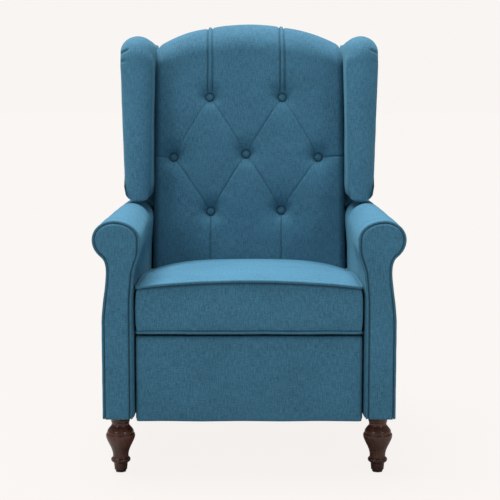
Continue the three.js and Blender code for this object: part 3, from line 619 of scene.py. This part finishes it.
def arm_facing(hand, side):
    line = resample(facing_outline(ARM_BOTTOM - 5 * MM), 1 * MM)
    apex = int(np.argmax(line[:, 1]))
    turn = np.linspace(0.02, math.pi / 2, 36)
    top, bottom = line[apex, 1], line[0, 1]
    drop = FACING_RADIUS - ROLL_FALL
    heights = np.r_[top - drop * (1 - np.cos(turn)), np.linspace(top - drop, bottom, 116)[1:]]
    rows = len(heights)
    inner, outer = line[: apex + 1], line[apex:][::-1]
    a, b = (np.stack([np.interp(heights, part[:, 1], part[:, 0]), heights], axis=1)
            for part in (inner, outer))
    across = (1 - np.cos(np.linspace(0, math.pi, 30))) / 2
    flat = a[:, None] * (1 - across)[None, :, None] + b[:, None] * across[None, :, None]
    border = np.vstack([line, [line[0] * 0.5 + line[-1] * 0.5]])
    spots = flat.reshape(-1, 2)
    gap = np.min([np.hypot(spots[:, 0] - p[0], spots[:, 1] - p[1]) for p in border[::2]], axis=0)
    gap = np.minimum(gap, np.abs(spots[:, 1] - line[0][1]) * 1.6)
    reach = np.clip(1 - gap / FACING_EDGE, 0, 1)
    y = FRONT - 0.6 * MM + (1 - np.sqrt(1 - reach ** 2 * 0.98)) * FACING_EDGE
    full = np.stack([side * spots[:, 0], y, spots[:, 1]], axis=1)
    inside = smooth(0, 14 * MM, gap)
    waves = ripple(full, 60, side * 2.7) * 1.3
    neck = hump(spots[:, 1] - (ROLL_Z - 70 * MM), 46)
    slant = np.stack(
        [full[:, 0] * side * 0.75 + full[:, 2] * 0.66, full[:, 1], full[:, 2] * 0.3], axis=1)
    creases = ripple(slant, 15, 4.4) * 1.5 * neck
    full[:, 1] -= (waves + creases) * inside * MM
    grid = full.reshape(rows, len(across), 3)
    # Painted shade along the panel's border, in the seam beside the piping.
    painted_crease_shade = 0.8 * smooth(3.4 * MM, 0.4 * MM, gap)
    edge = rim(grid)
    loops = []
    for back in (3.0, 6.5):
        loop = edge.copy()
        loop[:, 1] = np.maximum(loop[:, 1], FRONT + 6.6 * MM) + back * 0.55 * MM
        loops.append(loop)
    shape = grid_with_skirt(grid, loops)
    covered(f"arm_front_panel_{hand}", shape, "base", (f"arm_facing_{hand}",), painted_crease_shade)


PIPING_RADIUS = 3.1 * MM
PIPING_SIDES = 12


def arm_piping(hand, side):
    line = resample(facing_outline(ARM_BOTTOM - 2 * MM, grow=3.3 * MM), 4 * MM)
    line = relax(line, 2, closed=False)
    y = FRONT + 6.4 * MM
    path = np.stack([side * line[:, 0], np.full(len(line), y), line[:, 1]], axis=1)
    path += np.stack([ripple(path, 30, shift) for shift in (1.0, 5.0, 9.0)], axis=1) * 0.35 * MM
    shape = tube(path, PIPING_RADIUS, PIPING_SIDES)
    covered(f"arm_piping_{hand}", shape, "base", (f"arm_welt_{hand}",), material=piping)


for hand, side in SIDES:
    arm_pad(hand, side)
    arm_facing(hand, side)
    arm_piping(hand, side)

# ---- legs
# Turned outline, foot to neck: share of the leg's height, radius in millimetres.
TURNING = (
    (0.0, 13.4), (0.012, 14.6), (0.05, 15.0), (0.12, 16.0), (0.135, 16.6), (0.15, 20.4),
    (0.17, 22.3), (0.19, 22.6), (0.212, 21.6), (0.228, 18.9), (0.25, 18.0), (0.30, 18.3),
    (0.36, 20.2), (0.42, 23.4), (0.48, 27.4), (0.54, 31.0), (0.585, 33.2), (0.62, 33.9),
    (0.645, 33.5), (0.662, 31.9), (0.672, 30.9), (0.69, 30.8), (0.72, 29.6), (0.75, 26.8),
    (0.78, 23.6), (0.80, 21.4), (0.815, 20.5), (0.845, 20.1), (0.862, 20.6), (0.868, 21.6),
    (0.885, 21.9), (0.893, 21.4), (0.91, 22.6), (0.94, 24.8), (0.97, 26.0), (1.0, 26.6),
)


def turned_leg(hand):
    low, high = node_box(f"front_leg_{hand}")
    centre = (low + high) / 2
    bottom, top = low[2], ARM_BOTTOM - 1.0 * MM
    share, radius = np.array(TURNING).T
    profile = [(np.interp(h, share, radius * MM), (top - bottom) * h) for h in np.linspace(0, 1, 150)]
    shape = lathe(profile, (centre[0], centre[1], bottom), 72)
    make(f"turned_leg_{hand}", shape, "base", walnut, (f"front_leg_{hand}",))


for hand, _ in SIDES:
    turned_leg(hand)
    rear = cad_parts[f"rear_leg_{hand}"]
    edge = rear.modifiers.new("eased_edges", "BEVEL")
    edge.width = 2.5 * MM
    edge.segments = 3
    edge.limit_method = "ANGLE"

# ---- seat cushion
SEAT_STEP = 6.5 * MM
SEAT_HALF = 255.5 * MM
SEAT_FRONT = SEAT_LOW[1] + 1.0 * MM
SEAT_REAR = SEAT_HIGH[1] - 2 * MM
SEAT_BOTTOM = SEAT_LOW[2] + 1.0 * MM
SEAT_SEAM = 437  # height of the upper side seam at the front, in millimetres
SEAT_CREST = 451.5  # height of the middle at the front, in millimetres
SEAT_PRESSURE = 1.5
SEAT_PUFF = 9 * MM  # most that the cloth pass may move a point


def seat_height(x, y):
    """Height of the cushion's top, from its side seams to its middle."""
    t = (y - SEAT_FRONT) / (SEAT_REAR - SEAT_FRONT)
    seam = (SEAT_SEAM - 22.5 * smooth(0.3, 1, t)) * MM
    crest = (SEAT_CREST + 3 * smooth(0, 0.4, t) - 14.5 * smooth(0.45, 1.05, t)) * MM
    power = 2.0 + 1.6 * smooth(0, 0.7, t)
    return seam + (crest - seam) * (1 - np.minimum(np.abs(x) / SEAT_HALF, 1) ** power)


def seat_cushion():
    xs, drop_x = rounded_axis(-SEAT_HALF, SEAT_HALF, 3 * MM, 3 * MM, SEAT_STEP)
    ys, drop_y = rounded_axis(SEAT_FRONT, SEAT_REAR, 3 * MM, 16 * MM, SEAT_STEP)
    x, y = np.meshgrid(xs, ys)
    z = seat_height(x, y) - 0.75 * drop_x[None, :] - 0.75 * drop_y[:, None]
    grid = np.stack([x, y, z], axis=2)
    flat = grid.reshape(-1, 3)
    soft = (ripple(flat, 120, 2.2) * 1.6 + ripple(flat, 42, 6.1) * 0.5) * MM
    along_in = np.minimum(flat[:, 1] - SEAT_FRONT, SEAT_REAR - flat[:, 1])
    edge_in = np.minimum(SEAT_HALF - np.abs(flat[:, 0]), along_in)
    flat[:, 2] += soft * smooth(0, 50 * MM, edge_in)
    front_edge = hump(flat[:, 1] - SEAT_FRONT - 8 * MM, 9)
    flat[:, 2] += ripple(flat, 14, 3.3, (1, 0.25, 0.25)) * front_edge * 0.35 * MM
    edge = rim(grid)
    top = edge[:, 2].copy()
    normal = relax(outward(edge[:, :2]), 2)
    loops = []
    lean = (SEAT_REAR - front_line(SEAT_BOTTOM) + 4 * MM) * (edge[:, 1] > SEAT_REAR - 30 * MM)
    levels = (0.015, 0.04, 0.08, 0.14, 0.22, 0.32, 0.42, 0.52,
              0.62, 0.72, 0.8, 0.87, 0.92, 0.96, 0.985, 1.0)
    # Painted shade near the welts: on the top along its edge, and on the side loops at the seams.
    painted_crease_shade = [0.6 * smooth(5 * MM, 0, edge_in)]
    for f in levels:
        at_welt = max(smooth(0.06, 0.03, f), smooth(0.93, 0.96, f))
        painted_crease_shade.append(np.full(len(edge), 0.85 * at_welt))
        bulge = (-2.2 + 5.6 * (1 - abs(2 * f - 1) ** 4)) * MM
        loop = edge.copy()
        loop[:, :2] += normal * bulge
        loop[:, 1] -= lean * f
        loop[:, 2] = top * (1 - f) + SEAT_BOTTOM * f
        fuzz = ripple(loop, 70, 8.8) * 1.1 * MM * (1 - abs(2 * f - 1) ** 3)
        loop[:, :2] += normal * fuzz[:, None]
        loops.append(loop)
    inset = loops[-1].copy()
    inset[:, :2] -= normal * 14 * MM
    inset[:, 2] -= 0.2 * MM
    loops.append(inset)
    shape = grid_with_skirt(grid, loops)
    pad = covered("seat_box_cushion", shape, "seat", ("seat_cushion",), np.concatenate(painted_crease_shade))
    held = np.zeros(len(shape[0]), bool)
    held[: len(flat)] = edge_in < 7 * MM
    for number, f in enumerate(levels):
        start = len(flat) + number * len(edge)
        held[start : start + len(edge)] = (f < 0.1) | (f > 0.9)
    held[len(flat) + len(levels) * len(edge) :] = True
    inflate(pad, held, SEAT_PRESSURE, SEAT_PUFF)
    for name, height, drop in (("upper", top + 1.6 * MM, 0.0), ("lower", SEAT_BOTTOM + 3.0 * MM, 1.0)):
        path = edge.copy()
        path[:, :2] += normal * 1.8 * MM
        path[:, 1] -= lean * drop
        path[:, 2] = height
        path = relax(resample(path, 5 * MM, closed=True), 3)
        path[:, 2] += ripple(path, 60, 1.7) * 0.7 * MM
        shape = tube(path, PIPING_RADIUS, PIPING_SIDES, closed=True)
        covered(f"seat_piping_{name}", shape, "seat", material=piping)


seat_cushion()

# ---- back cushion
BACK_STEP = 1.9 * MM
BUTTON_LIFT = np.array([0, 1.3, 5]) * MM
BUTTONS = {name: sum(node_box(name)) / 2 + BUTTON_LIFT
           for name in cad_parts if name.startswith("tuft_button_")}
BUTTON_SEAT = 12.0 * MM
DIMPLE_DEPTH = 17.2 * MM
HALF_EXTRA = 3.2 * MM
ROUND_TOP = 72 * MM

crown_curve = cubic((BACK_HALF, BACK_SHOULDER), (BACK_HALF * 0.8, BACK_SHOULDER + 36.5 * MM),
                    (BACK_HALF * 0.45, BACK_CROWN), (0, BACK_CROWN), 60)[::-1]


def crown(x):
    return np.interp(np.abs(x), crown_curve[:, 0], crown_curve[:, 1])


def spot(name):
    """A button's place in the face of the back: across, and up."""
    x, y, z = BUTTONS[f"tuft_button_{name}"]
    return x, z + (y - front_line(z)) * math.sin(LEAN) * math.cos(LEAN)


# Sewn folds between buttons: two ends, and how strongly each shows.
FOLDS = (
    ("top_left", "middle_centre", 1.0), ("top_right", "middle_right", 0.85),
    ("middle_left", "lower_left", 1.0), ("middle_centre", "lower_right", 1.0),
    ("top_left", "middle_left", 0.45), ("top_right", "middle_centre", 0.65),
    ("middle_centre", "lower_left", 0.8), ("middle_right", "lower_right", 0.5),
)
PLEAT_HALF = 6.6 * MM  # from the middle of a sewn pleat above a top button to each of its seams


def near_segment(x, z, a, b):
    """Distance from each point to a segment, and how far along it the nearest place is."""
    ax, az = a
    dx, dz = b[0] - ax, b[1] - az
    along = np.clip(((x - ax) * dx + (z - az) * dz) / (dx * dx + dz * dz), 0, 1)
    return np.hypot(x - ax - along * dx, z - az - along * dz), along


def tufting(x, z):
    """How far the back's face is drawn in, in millimetres, and how much painted shade each point gets
    in the folds, seams and button rings, from 0 to 1.
    """
    deep = np.zeros_like(x)
    for name in BUTTONS:
        bx, bz = spot(name.removeprefix("tuft_button_"))
        away = np.hypot(x - bx, z - bz)
        turn = np.arctan2(z - bz, x - bx)
        fall = np.exp(-np.maximum(away - BUTTON_SEAT, 0) / (14 * MM))
        pleats = 1 + 0.05 * np.cos(turn * 5 + bx * 40) * smooth(12 * MM, 22 * MM, away)
        deep = np.maximum(deep, DIMPLE_DEPTH / MM * fall * pleats)
    sewn = np.zeros_like(x)
    painted_crease_shade = np.zeros_like(x)
    for first, second, strength in FOLDS:
        gap, along = near_segment(x, z, spot(first), spot(second))
        middle = 1 - 0.55 * np.sin(math.pi * along)
        broad = 3.0 * np.exp(-gap / (16 * MM)) * middle * (0.5 + 0.5 * strength)
        sewn = np.maximum(sewn, 1.8 * hump(gap, 2.1) * strength ** 0.5 + broad)
        faint = 1 - 0.4 * np.sin(math.pi * along)
        # Painted shade along each sewn fold, fainter in its middle.
        painted_crease_shade = np.maximum(painted_crease_shade, hump(gap, 1.4) * 0.5 * strength * faint)
    for name in ("top_left", "top_right"):
        bx, bz = spot(name)
        up = smooth(bz + 8 * MM, bz + 20 * MM, z)
        off = x - bx - 1.5 * MM * np.sin((z - bz) / (60 * MM))
        seams = hump(off - PLEAT_HALF, 2.4) + hump(off + PLEAT_HALF, 2.4)
        pleat = 3.4 * seams - 3.6 * hump(off, 5.0)
        broad = 2.6 * np.exp(-np.abs(off) / (22 * MM))
        sewn = sewn + (pleat + broad) * up
        faint = 0.45 + 0.55 * smooth(bz + 90 * MM, bz + 30 * MM, z)
        # Painted shade along the two seams of each pleat above a top button.
        lines = hump(off - PLEAT_HALF, 1.7) * faint + hump(off + PLEAT_HALF, 1.7)
        painted_crease_shade = np.maximum(painted_crease_shade, lines * 0.85 * up)
    for name in ("lower_left", "lower_right"):
        bx, bz = spot(name)
        down = smooth(bz - 6 * MM, bz - 18 * MM, z)
        off = x - bx
        sewn = sewn + (2.0 * hump(off, 2.4) + 2.2 * np.exp(-np.abs(off) / (20 * MM))) * down
        # Painted shade along the fold below each lower button.
        painted_crease_shade = np.maximum(painted_crease_shade, hump(off, 1.6) * 0.6 * down)
    for name, way in (("middle_left", -1), ("middle_right", 1)):
        bx, bz = spot(name)
        beyond = smooth(8 * MM, 18 * MM, (x - bx) * way)
        off = z - bz
        sewn = sewn + (1.6 * hump(off, 2.4) + 1.4 * np.exp(-np.abs(off) / (16 * MM))) * beyond
        # Painted shade along the fold beside each middle side button.
        painted_crease_shade = np.maximum(painted_crease_shade, hump(off, 1.6) * 0.5 * beyond)
    # Painted shade in a ring at the bottom of each dimple, round its button.
    ring = np.clip((deep - DIMPLE_DEPTH / MM * 0.88) / (DIMPLE_DEPTH / MM * 0.12), 0, 1)
    return deep + sewn * np.exp(-deep / 14), np.maximum(painted_crease_shade, 0.8 * ring)


def back_cushion():
    half = BACK_HALF + HALF_EXTRA
    ts, drop_x = rounded_axis(-half, half, 20 * MM, 20 * MM, BACK_STEP)
    low, high = BACK_BOTTOM + 1 * MM, BACK_CROWN - 1.5 * MM
    heights, drop_z = rounded_axis(low, high, 14 * MM, ROUND_TOP, BACK_STEP)
    x = np.repeat(ts[None, :], len(heights), axis=0)
    fall = (BACK_CROWN - crown(ts))[None, :]
    rise = np.clip((heights - low) / (high - low), 0, 1)[:, None]
    z = heights[:, None] - fall * rise ** 3
    run = np.r_[0, np.cumsum(np.hypot(np.diff(heights), np.diff(drop_z)))] + low - 8 * MM
    shown = run[:, None] - fall * rise ** 3
    y = front_line(z) + 0.9 * drop_x[None, :] + drop_z[:, None]
    grid = np.stack([x, y, z], axis=2)
    normal = grid_normals(grid)
    if normal[len(heights) // 2, len(ts) // 2, 1] > 0:
        normal = -normal
    side = smooth(0, 20 * MM, half - np.abs(x))
    puff = 3.0 * side
    deep, painted_crease_shade = tufting(x, shown)
    deep = deep * (0.25 + 0.75 * side)
    flat = grid.reshape(-1, 3)
    lumps = (ripple(flat, 110, 5.5) * 1.5 + ripple(flat, 38, 1.5) * 0.5).reshape(x.shape)
    grid = grid + normal * ((puff - deep + lumps * side) * MM)[:, :, None]
    edge = rim(grid)
    loops = drawn_back(edge, rear_line(edge[:, 2]) - 30 * MM, (0.15, 0.4, 0.7, 1.0))
    shape = grid_with_skirt(grid, loops)
    # The cushion carries painted shade in its folds, seams and button rings.
    covered("tufted_back_cushion", shape, "back", ("back_cushion",), painted_crease_shade.ravel())


back_cushion()


# Section of a covered button, back to front: radius and height in millimetres.
BUTTON = (
    (0.5, -3.6), (8.6, -3.6), (10.4, -2.6), (11.0, -1.4), (11.1, -0.2), (10.8, 0.9), (10.1, 1.7),
    (9.3, 2.2), (8.6, 2.3), (7.8, 2.8), (6.0, 3.6), (4.0, 4.2), (2.0, 4.5), (0.4, 4.55),
)
BUTTON_SIDES = 40


def tuft_button(name):
    out = np.array([0, -math.cos(LEAN), math.sin(LEAN)])
    profile = [(r * MM, h * MM) for r, h in BUTTON]
    shape = lathe(profile, BUTTONS[name], BUTTON_SIDES, out)
    # Painted shade round the button's edge: strongest on its rim, lighter on the step just inside it.
    dark = [0.5 * float(r > 9.2) + 0.2 * float(8 < r < 9.2) for r, _ in BUTTON]
    painted_crease_shade = np.repeat(dark, BUTTON_SIDES)
    covered(name.replace("tuft", "covered"), shape, "back", (name,), painted_crease_shade=painted_crease_shade, material=piping)


for button in BUTTONS:
    tuft_button(button)

# ---- wings
WING_STEP = 3.0 * MM
WING_INNER = WING_LOW[0] + 3 * MM
WING_LOW_OUTER = WING_LOW[0] + 66 * MM
WING_TOP_OUTER = WING_HIGH[0]
WING_BOTTOM = WING_LOW[2] - 1.5 * MM
WING_TOP = WING_HIGH[2] - 3 * MM
WING_REACH = 120 * MM
WING_BITE = 36 * MM  # how far in from the outer face the top's pleats start
# Pleats in the front edge: height at the outer face, slope, depth and length share.
WING_PLEATS = ((1004, 0.8, 3.4, 1.0), (984, 0.42, 3.4, 0.9), (962, 0.12, 2.6, 0.5))


def wing_side():
    """Side view of a wing (Y, Z): its leaning front edge, round top and rear edge."""
    def reach(z):
        return front_line(z) - WING_REACH

    def rear(z):
        return rear_line(z) + 3 * MM

    shoulder = WING_TOP - 70 * MM
    nape = WING_TOP - 60 * MM
    parts = [
        [(reach(WING_BOTTOM), WING_BOTTOM), (rear(WING_BOTTOM), WING_BOTTOM)],
        [(rear(nape), nape)],
        cubic((rear(nape), nape), (rear(nape) + 9 * MM, WING_TOP - 25 * MM),
              (rear(WING_TOP) - 30 * MM, WING_TOP), (rear(WING_TOP) - 70 * MM, WING_TOP), 20),
        cubic((reach(WING_TOP) + 78 * MM, WING_TOP), (reach(WING_TOP) + 28 * MM, WING_TOP),
              (reach(shoulder) + 8 * MM, WING_TOP - 26 * MM), (reach(shoulder), shoulder), 24),
    ]
    return relax(resample(np.vstack(parts), WING_STEP, closed=True), 5)


def wing_pad(hand, side):
    outline = wing_side()
    normal = outward(outline)
    above, below, behind = (smooth(0.15, 0.7, v) for v in (normal[:, 1], -normal[:, 1], normal[:, 0]))

    def corner(front, top, bottom, rear):
        """Corner radius all round, from its value in millimetres on each of the four sides."""
        r = front + (top - front) * above
        r = r + (rear - r) * behind
        r = r + (bottom - r) * below
        return relax(r[:, None], 6)[:, 0] * MM

    inner_radius = corner(15, 30, 18, 4)
    outer_radius = corner(27, 32, 19, 8)
    middle = outline.mean(axis=0)

    def outer_at(z):
        up = np.clip((z - WING_BOTTOM) / (WING_TOP - WING_BOTTOM), 0, 1)
        return WING_LOW_OUTER + (WING_TOP_OUTER - WING_LOW_OUTER) * up ** 0.9

    outer = outer_at(outline[:, 1])
    centre = (outer + WING_INNER) / 2
    rings = []

    def ring(x, inset, shrink=0.0):
        """The outline at x, drawn in by inset; shrink pulls it towards its middle."""
        flat = outline - normal * inset[:, None]
        lift = inset[below > 0.9].mean()
        flat[:, 1] = np.maximum(flat[:, 1], WING_BOTTOM + lift)
        flat = flat + (middle - flat) * shrink
        if shrink > 0:
            x = np.where(x > centre, outer_at(flat[:, 1]), x)
        points = np.stack([side * x, flat[:, 0], flat[:, 1]], axis=1)
        soft = ripple(points, 70, side * 4.2) + ripple(points, 26, side * 8.6) * 0.35
        if shrink > 0:
            points[:, 0] += side * np.sign(x - centre) * (soft + 2.5 * (1 - shrink)) * MM
        else:
            points[:, 1] += normal[:, 0] * soft * MM
            points[:, 2] += normal[:, 1] * soft * MM
        reach = np.abs(x) - (outer - WING_BITE)
        tucked = smooth(0, 22 * MM, reach)
        for height, slope, depth, length in WING_PLEATS:
            line = points[:, 2] - height * MM - (outer - np.abs(x)) * slope
            fade = smooth(0, 16 * MM, reach - (1 - length) * 30 * MM)
            facing = smooth(0.25, 0.8, -normal[:, 0]) * math.exp(-8 * shrink)
            draw = depth * hump(line, 3.0) * fade * tucked * facing * MM
            points[:, 0] -= side * draw
            points[:, 1] += draw * 0.8
        return points

    shrinks = (0.985, 0.85, 0.62, 0.4, 0.22, 0.1)
    for shrink in shrinks:
        rings.append(ring(np.full(len(outline), WING_INNER), inner_radius, shrink))
    for angle in np.linspace(-math.pi / 2, math.pi / 2, 48):
        radius = inner_radius if angle < 0 else outer_radius
        share = (angle / math.pi) + 0.5
        flat = (WING_INNER + inner_radius) * (1 - share) + (outer - outer_radius) * share
        rings.append(ring(flat + radius * math.sin(angle), radius * (1 - math.cos(angle))))
    for shrink in shrinks[::-1]:
        rings.append(ring(outer, outer_radius, shrink))
    covered(f"wing_upholstery_{hand}", loft(rings), "back", (f"wing_pad_{hand}",))


for hand, side in SIDES:
    wing_pad(hand, side)

# ---- outside back
def outside_back():
    half = BACK_HALF + 6 * MM
    low = SHELL_LOW[2]
    xs, drop_x = rounded_axis(-half, half, 4 * MM, 4 * MM, 5 * MM)
    heights, drop_z = rounded_axis(low - 0.5 * MM, BACK_CROWN - 3 * MM, 2 * MM, 14 * MM, 5 * MM)
    x = np.repeat(xs[None, :], len(heights), axis=0)
    rise = np.clip((heights - low) / (BACK_CROWN - low), 0, 1)[:, None]
    z = heights[:, None] - (BACK_CROWN - crown(xs))[None, :] * rise ** 3
    y = rear_line(z) - drop_x[None, :] - drop_z[:, None]
    top_in = smooth(BACK_CROWN - 75 * MM, BACK_CROWN, z + (BACK_CROWN - crown(x)))
    y = y - 26 * MM * top_in ** 1.6
    gap = np.minimum(half - np.abs(x), crown(x) - z)
    y = y + (1.6 * smooth(10 * MM, 120 * MM, gap) - 1.6 * hump(gap - 15 * MM, 2.6)) * MM
    grid = np.stack([x, y, z], axis=2)
    flat = grid.reshape(-1, 3)
    flat[:, 1] += (ripple(flat, 150, 3.0) * 1.6 + ripple(flat, 50, 7.0) * 0.4) * MM
    edge = rim(grid)
    loops = drawn_back(edge, rear_line(edge[:, 2]) - 20 * MM, (0.4, 1.0))
    covered("outside_back_panel", grid_with_skirt(grid, loops), "back", ("back_shell",))


outside_back()


# ---- footrest and apron
def flat_pad(name, node, body, low, high, face, rear, radius, step, puff):
    """A thin upholstered board: low and high are (x, z) corners, face and rear are its Y limits."""
    xs, drop_x = rounded_axis(low[0], high[0], radius, radius, step)
    zs, drop_z = rounded_axis(low[1], high[1], radius, radius, step)
    x, z = np.meshgrid(xs, zs)
    way = 1 if rear > face else -1
    y = face + way * (drop_x[None, :] + drop_z[:, None])
    grid = np.stack([x, y, z], axis=2)
    flat = grid.reshape(-1, 3)
    gap = np.minimum(np.minimum(flat[:, 0] - low[0], high[0] - flat[:, 0]),
                     np.minimum(flat[:, 2] - low[1], high[1] - flat[:, 2]))
    lumps = ripple(flat, 100, 2.9) * 1.3 + ripple(flat, 36, 6.6) * 0.35
    soft = puff * smooth(0, 60 * MM, gap) + lumps * smooth(0, 18 * MM, gap)
    flat[:, 1] -= way * soft * MM
    flat[:, 2] += ripple(flat, 90, 4.7) * 0.9 * MM * (1 - smooth(0, 30 * MM, gap))
    loops = drawn_back(rim(grid), rear, (0.5, 1.0))
    inset = loops[-1].copy()
    inset[:, 0] *= 0.96
    inset[:, 2] = inset[:, 2] * 0.94 + 0.06 * (low[1] + high[1]) / 2
    loops.append(inset)
    covered(name, grid_with_skirt(grid, loops), body, (node,))


FOOT_HALF = 259 * MM
flat_pad("footrest_upholstery", "footrest_pad", "footrest",
         (-FOOT_HALF, FOOT_LOW[2] - 1 * MM), (FOOT_HALF, FOOT_HIGH[2] - 1.0 * MM),
         FOOT_LOW[1] + 0.6 * MM, FOOT_HIGH[1], 9 * MM, 4 * MM, 2.0)
flat_pad("rear_apron_cloth", "rear_apron", "base",
         (APRON_LOW[0], APRON_LOW[2]), (APRON_HIGH[0], APRON_HIGH[2] + 8.5 * MM),
         APRON_HIGH[1], APRON_LOW[1], 3 * MM, 5 * MM, 0.8)


# ---- inner flaps
def flap(name, body, side, across, depths, heights, lean=False):
    """A thin cloth-covered board within limits; lean makes it follow the slope of the back."""
    left, right = sorted((side * across[0], side * across[1]))
    rings = []
    for share in np.linspace(0, 1, 12):
        z = heights[0] + (heights[1] - heights[0]) * share
        shift = (z - heights[0]) * math.tan(LEAN) if lean else 0.0
        front, rear = depths[0] + shift, depths[1] + shift
        corners = [(left, front), (right, front), (right, rear), (left, rear)]
        flat = relax(resample(corners, 2.5 * MM, closed=True), 2)
        rings.append(np.column_stack([flat, np.full(len(flat), z)]))
    points, faces = loft(rings)
    points[:, 1] += ripple(points, 60, 5.1) * 0.5 * MM
    covered(name, (points, faces), body)


for hand, side in SIDES:
    for part, outer, bottom in (("inner", 287 * MM, 556 * MM), ("outer", 313 * MM, 572 * MM)):
        rear = rear_line(bottom)
        flap(f"wing_tail_{part}_{hand}", "back", side, (254.5 * MM, outer),
             (rear - 17 * MM, rear - 1 * MM), (bottom, 604 * MM), lean=True)
    flap(f"arm_rear_flap_{hand}", "base", side, (255.4 * MM, 264.5 * MM),
         (206 * MM, 222 * MM), (240 * MM, 574 * MM))
    flap(f"front_side_strip_{hand}", "base", side, (244 * MM, 263.6 * MM),
         (-371 * MM, -366 * MM), (123 * MM, 262 * MM))


# ---- return springs
COIL_TURNS = 22
COIL_LEAD = 0.14  # straight share of the spring's length at each end


def return_spring(hand):
    """A coil between its hook on the rail and its post on the swing link."""
    low, high = node_box(f"return_spring_{hand}")
    x = (low[0] + high[0]) / 2
    inset = 6.5 * MM
    hook = np.array([x, low[1] + inset, high[2] - inset])
    post = np.array([x, high[1] - inset, low[2] + inset])
    way = post - hook
    length = np.linalg.norm(way)
    way /= length
    across = np.array([1.0, 0, 0])
    other = np.cross(way, across)
    t = np.linspace(0, 1, COIL_TURNS * 18)
    angle = np.clip((t - COIL_LEAD) / (1 - 2 * COIL_LEAD), 0, 1) * COIL_TURNS * 2 * math.pi
    swell = smooth(COIL_LEAD * 0.55, COIL_LEAD, t) * smooth(COIL_LEAD * 0.55, COIL_LEAD, 1 - t)
    radius = (5.1 * MM * swell)[:, None]
    path = hook + way * (t * length)[:, None]
    path = path + radius * (np.cos(angle)[:, None] * across + np.sin(angle)[:, None] * other)
    shape = tube(path, 1.1 * MM, 8)
    spring = make(f"coil_spring_{hand}", shape, None, wire, (f"return_spring_{hand}",))
    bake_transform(spring)


for hand, _ in SIDES:
    return_spring(hand)

# ---- stage, light and camera
BACKGROUND = (0.947, 0.913, 0.888)
AMBIENT = 0.29
FLOOR_REACH = 150
FLOOR_GLOW = 0.955
SUN_POWER = 8.8
SUN_ANGLE = math.radians(44)
CAMERA_PLACE = (0.002, -3.25, 0.8445)
CAMERA_PITCH = math.radians(90 - 6.49)
CAMERA_LENS = 91.08


def shown_as(tree, seen, felt, output):
    """Camera rays meet the shader seen, all other rays the shader felt."""
    rays = tree.nodes.new("ShaderNodeLightPath")
    both = tree.nodes.new("ShaderNodeMixShader")
    for number, source in enumerate((rays.outputs["Is Camera Ray"], felt.outputs[0], seen.outputs[0])):
        tree.links.new(source, both.inputs[number])
    tree.links.new(both.outputs[0], output.inputs["Surface"])


world = bpy.data.worlds.new("studio")
scene.world = world
world.use_nodes = True
tree = world.node_tree
ambient = tree.nodes["Background"]
ambient.inputs["Color"].default_value = (0.93, 0.97, 1.0, 1)
ambient.inputs["Strength"].default_value = AMBIENT
plain = tree.nodes.new("ShaderNodeBackground")
plain.inputs["Color"].default_value = (*BACKGROUND, 1)
plain.inputs["Strength"].default_value = 1.0
shown_as(tree, plain, ambient, tree.nodes["World Output"])

floor_mesh = bpy.data.meshes.new("floor")
corners = [(x * FLOOR_REACH, y * FLOOR_REACH, 0) for x, y in ((-1, -1), (1, -1), (1, 1), (-1, 1))]
floor_mesh.from_pydata(corners, [], [(0, 1, 2, 3)])
floor = bpy.data.objects.new("floor", floor_mesh)
link(floor)
pale = Nodes("pale_floor")
glow = pale.put(pale.new("ShaderNodeEmission"), Color=BACKGROUND, Strength=FLOOR_GLOW)
matt = pale.put(pale.new("ShaderNodeBsdfDiffuse"), Color=(0.018, 0.017, 0.016))
seen = pale.new("ShaderNodeAddShader")
pale.link(glow.outputs[0], seen.inputs[0])
pale.link(matt.outputs[0], seen.inputs[1])
bounce = pale.put(pale.new("ShaderNodeBsdfDiffuse"), Color=(0.40, 0.39, 0.38))
shown_as(pale.tree, seen, bounce, pale.tree.nodes["Material Output"])
floor_mesh.materials.append(pale.material)


def area_light(name, place, target, size, power):
    light = bpy.data.lights.new(name, "AREA")
    light.shape = "RECTANGLE"
    light.size, light.size_y = size
    light.energy = power
    lamp = bpy.data.objects.new(name, light)
    lamp.location = place
    lamp.rotation_euler = (Vector(target) - Vector(place)).to_track_quat("-Z", "Y").to_euler()
    link(lamp)


overhead = bpy.data.lights.new("overhead", "SUN")
overhead.energy = SUN_POWER
overhead.angle = SUN_ANGLE
overhead.color = (0.97, 0.99, 1.0)
lamp = bpy.data.objects.new("overhead", overhead)
lamp.rotation_euler = (math.radians(-11), math.radians(-9), 0)
link(lamp)
area_light("softbox_left", (-1.9, -2.6, 1.7), (0, 0, 0.55), (0.9, 1.2), 24)
area_light("softbox_right", (2.0, -2.5, 1.6), (0, 0, 0.45), (0.9, 1.2), 20)

camera_data = bpy.data.cameras.new("camera")
camera_data.lens = CAMERA_LENS
camera_data.sensor_width = 36
camera_data.clip_end = 400
camera = bpy.data.objects.new("camera", camera_data)
camera.location = CAMERA_PLACE
camera.rotation_euler = (CAMERA_PITCH, 0, 0)
link(camera)
bpy.context.scene.camera = camera
scene.view_settings.view_transform = "Standard"
scene.view_settings.look = "None"
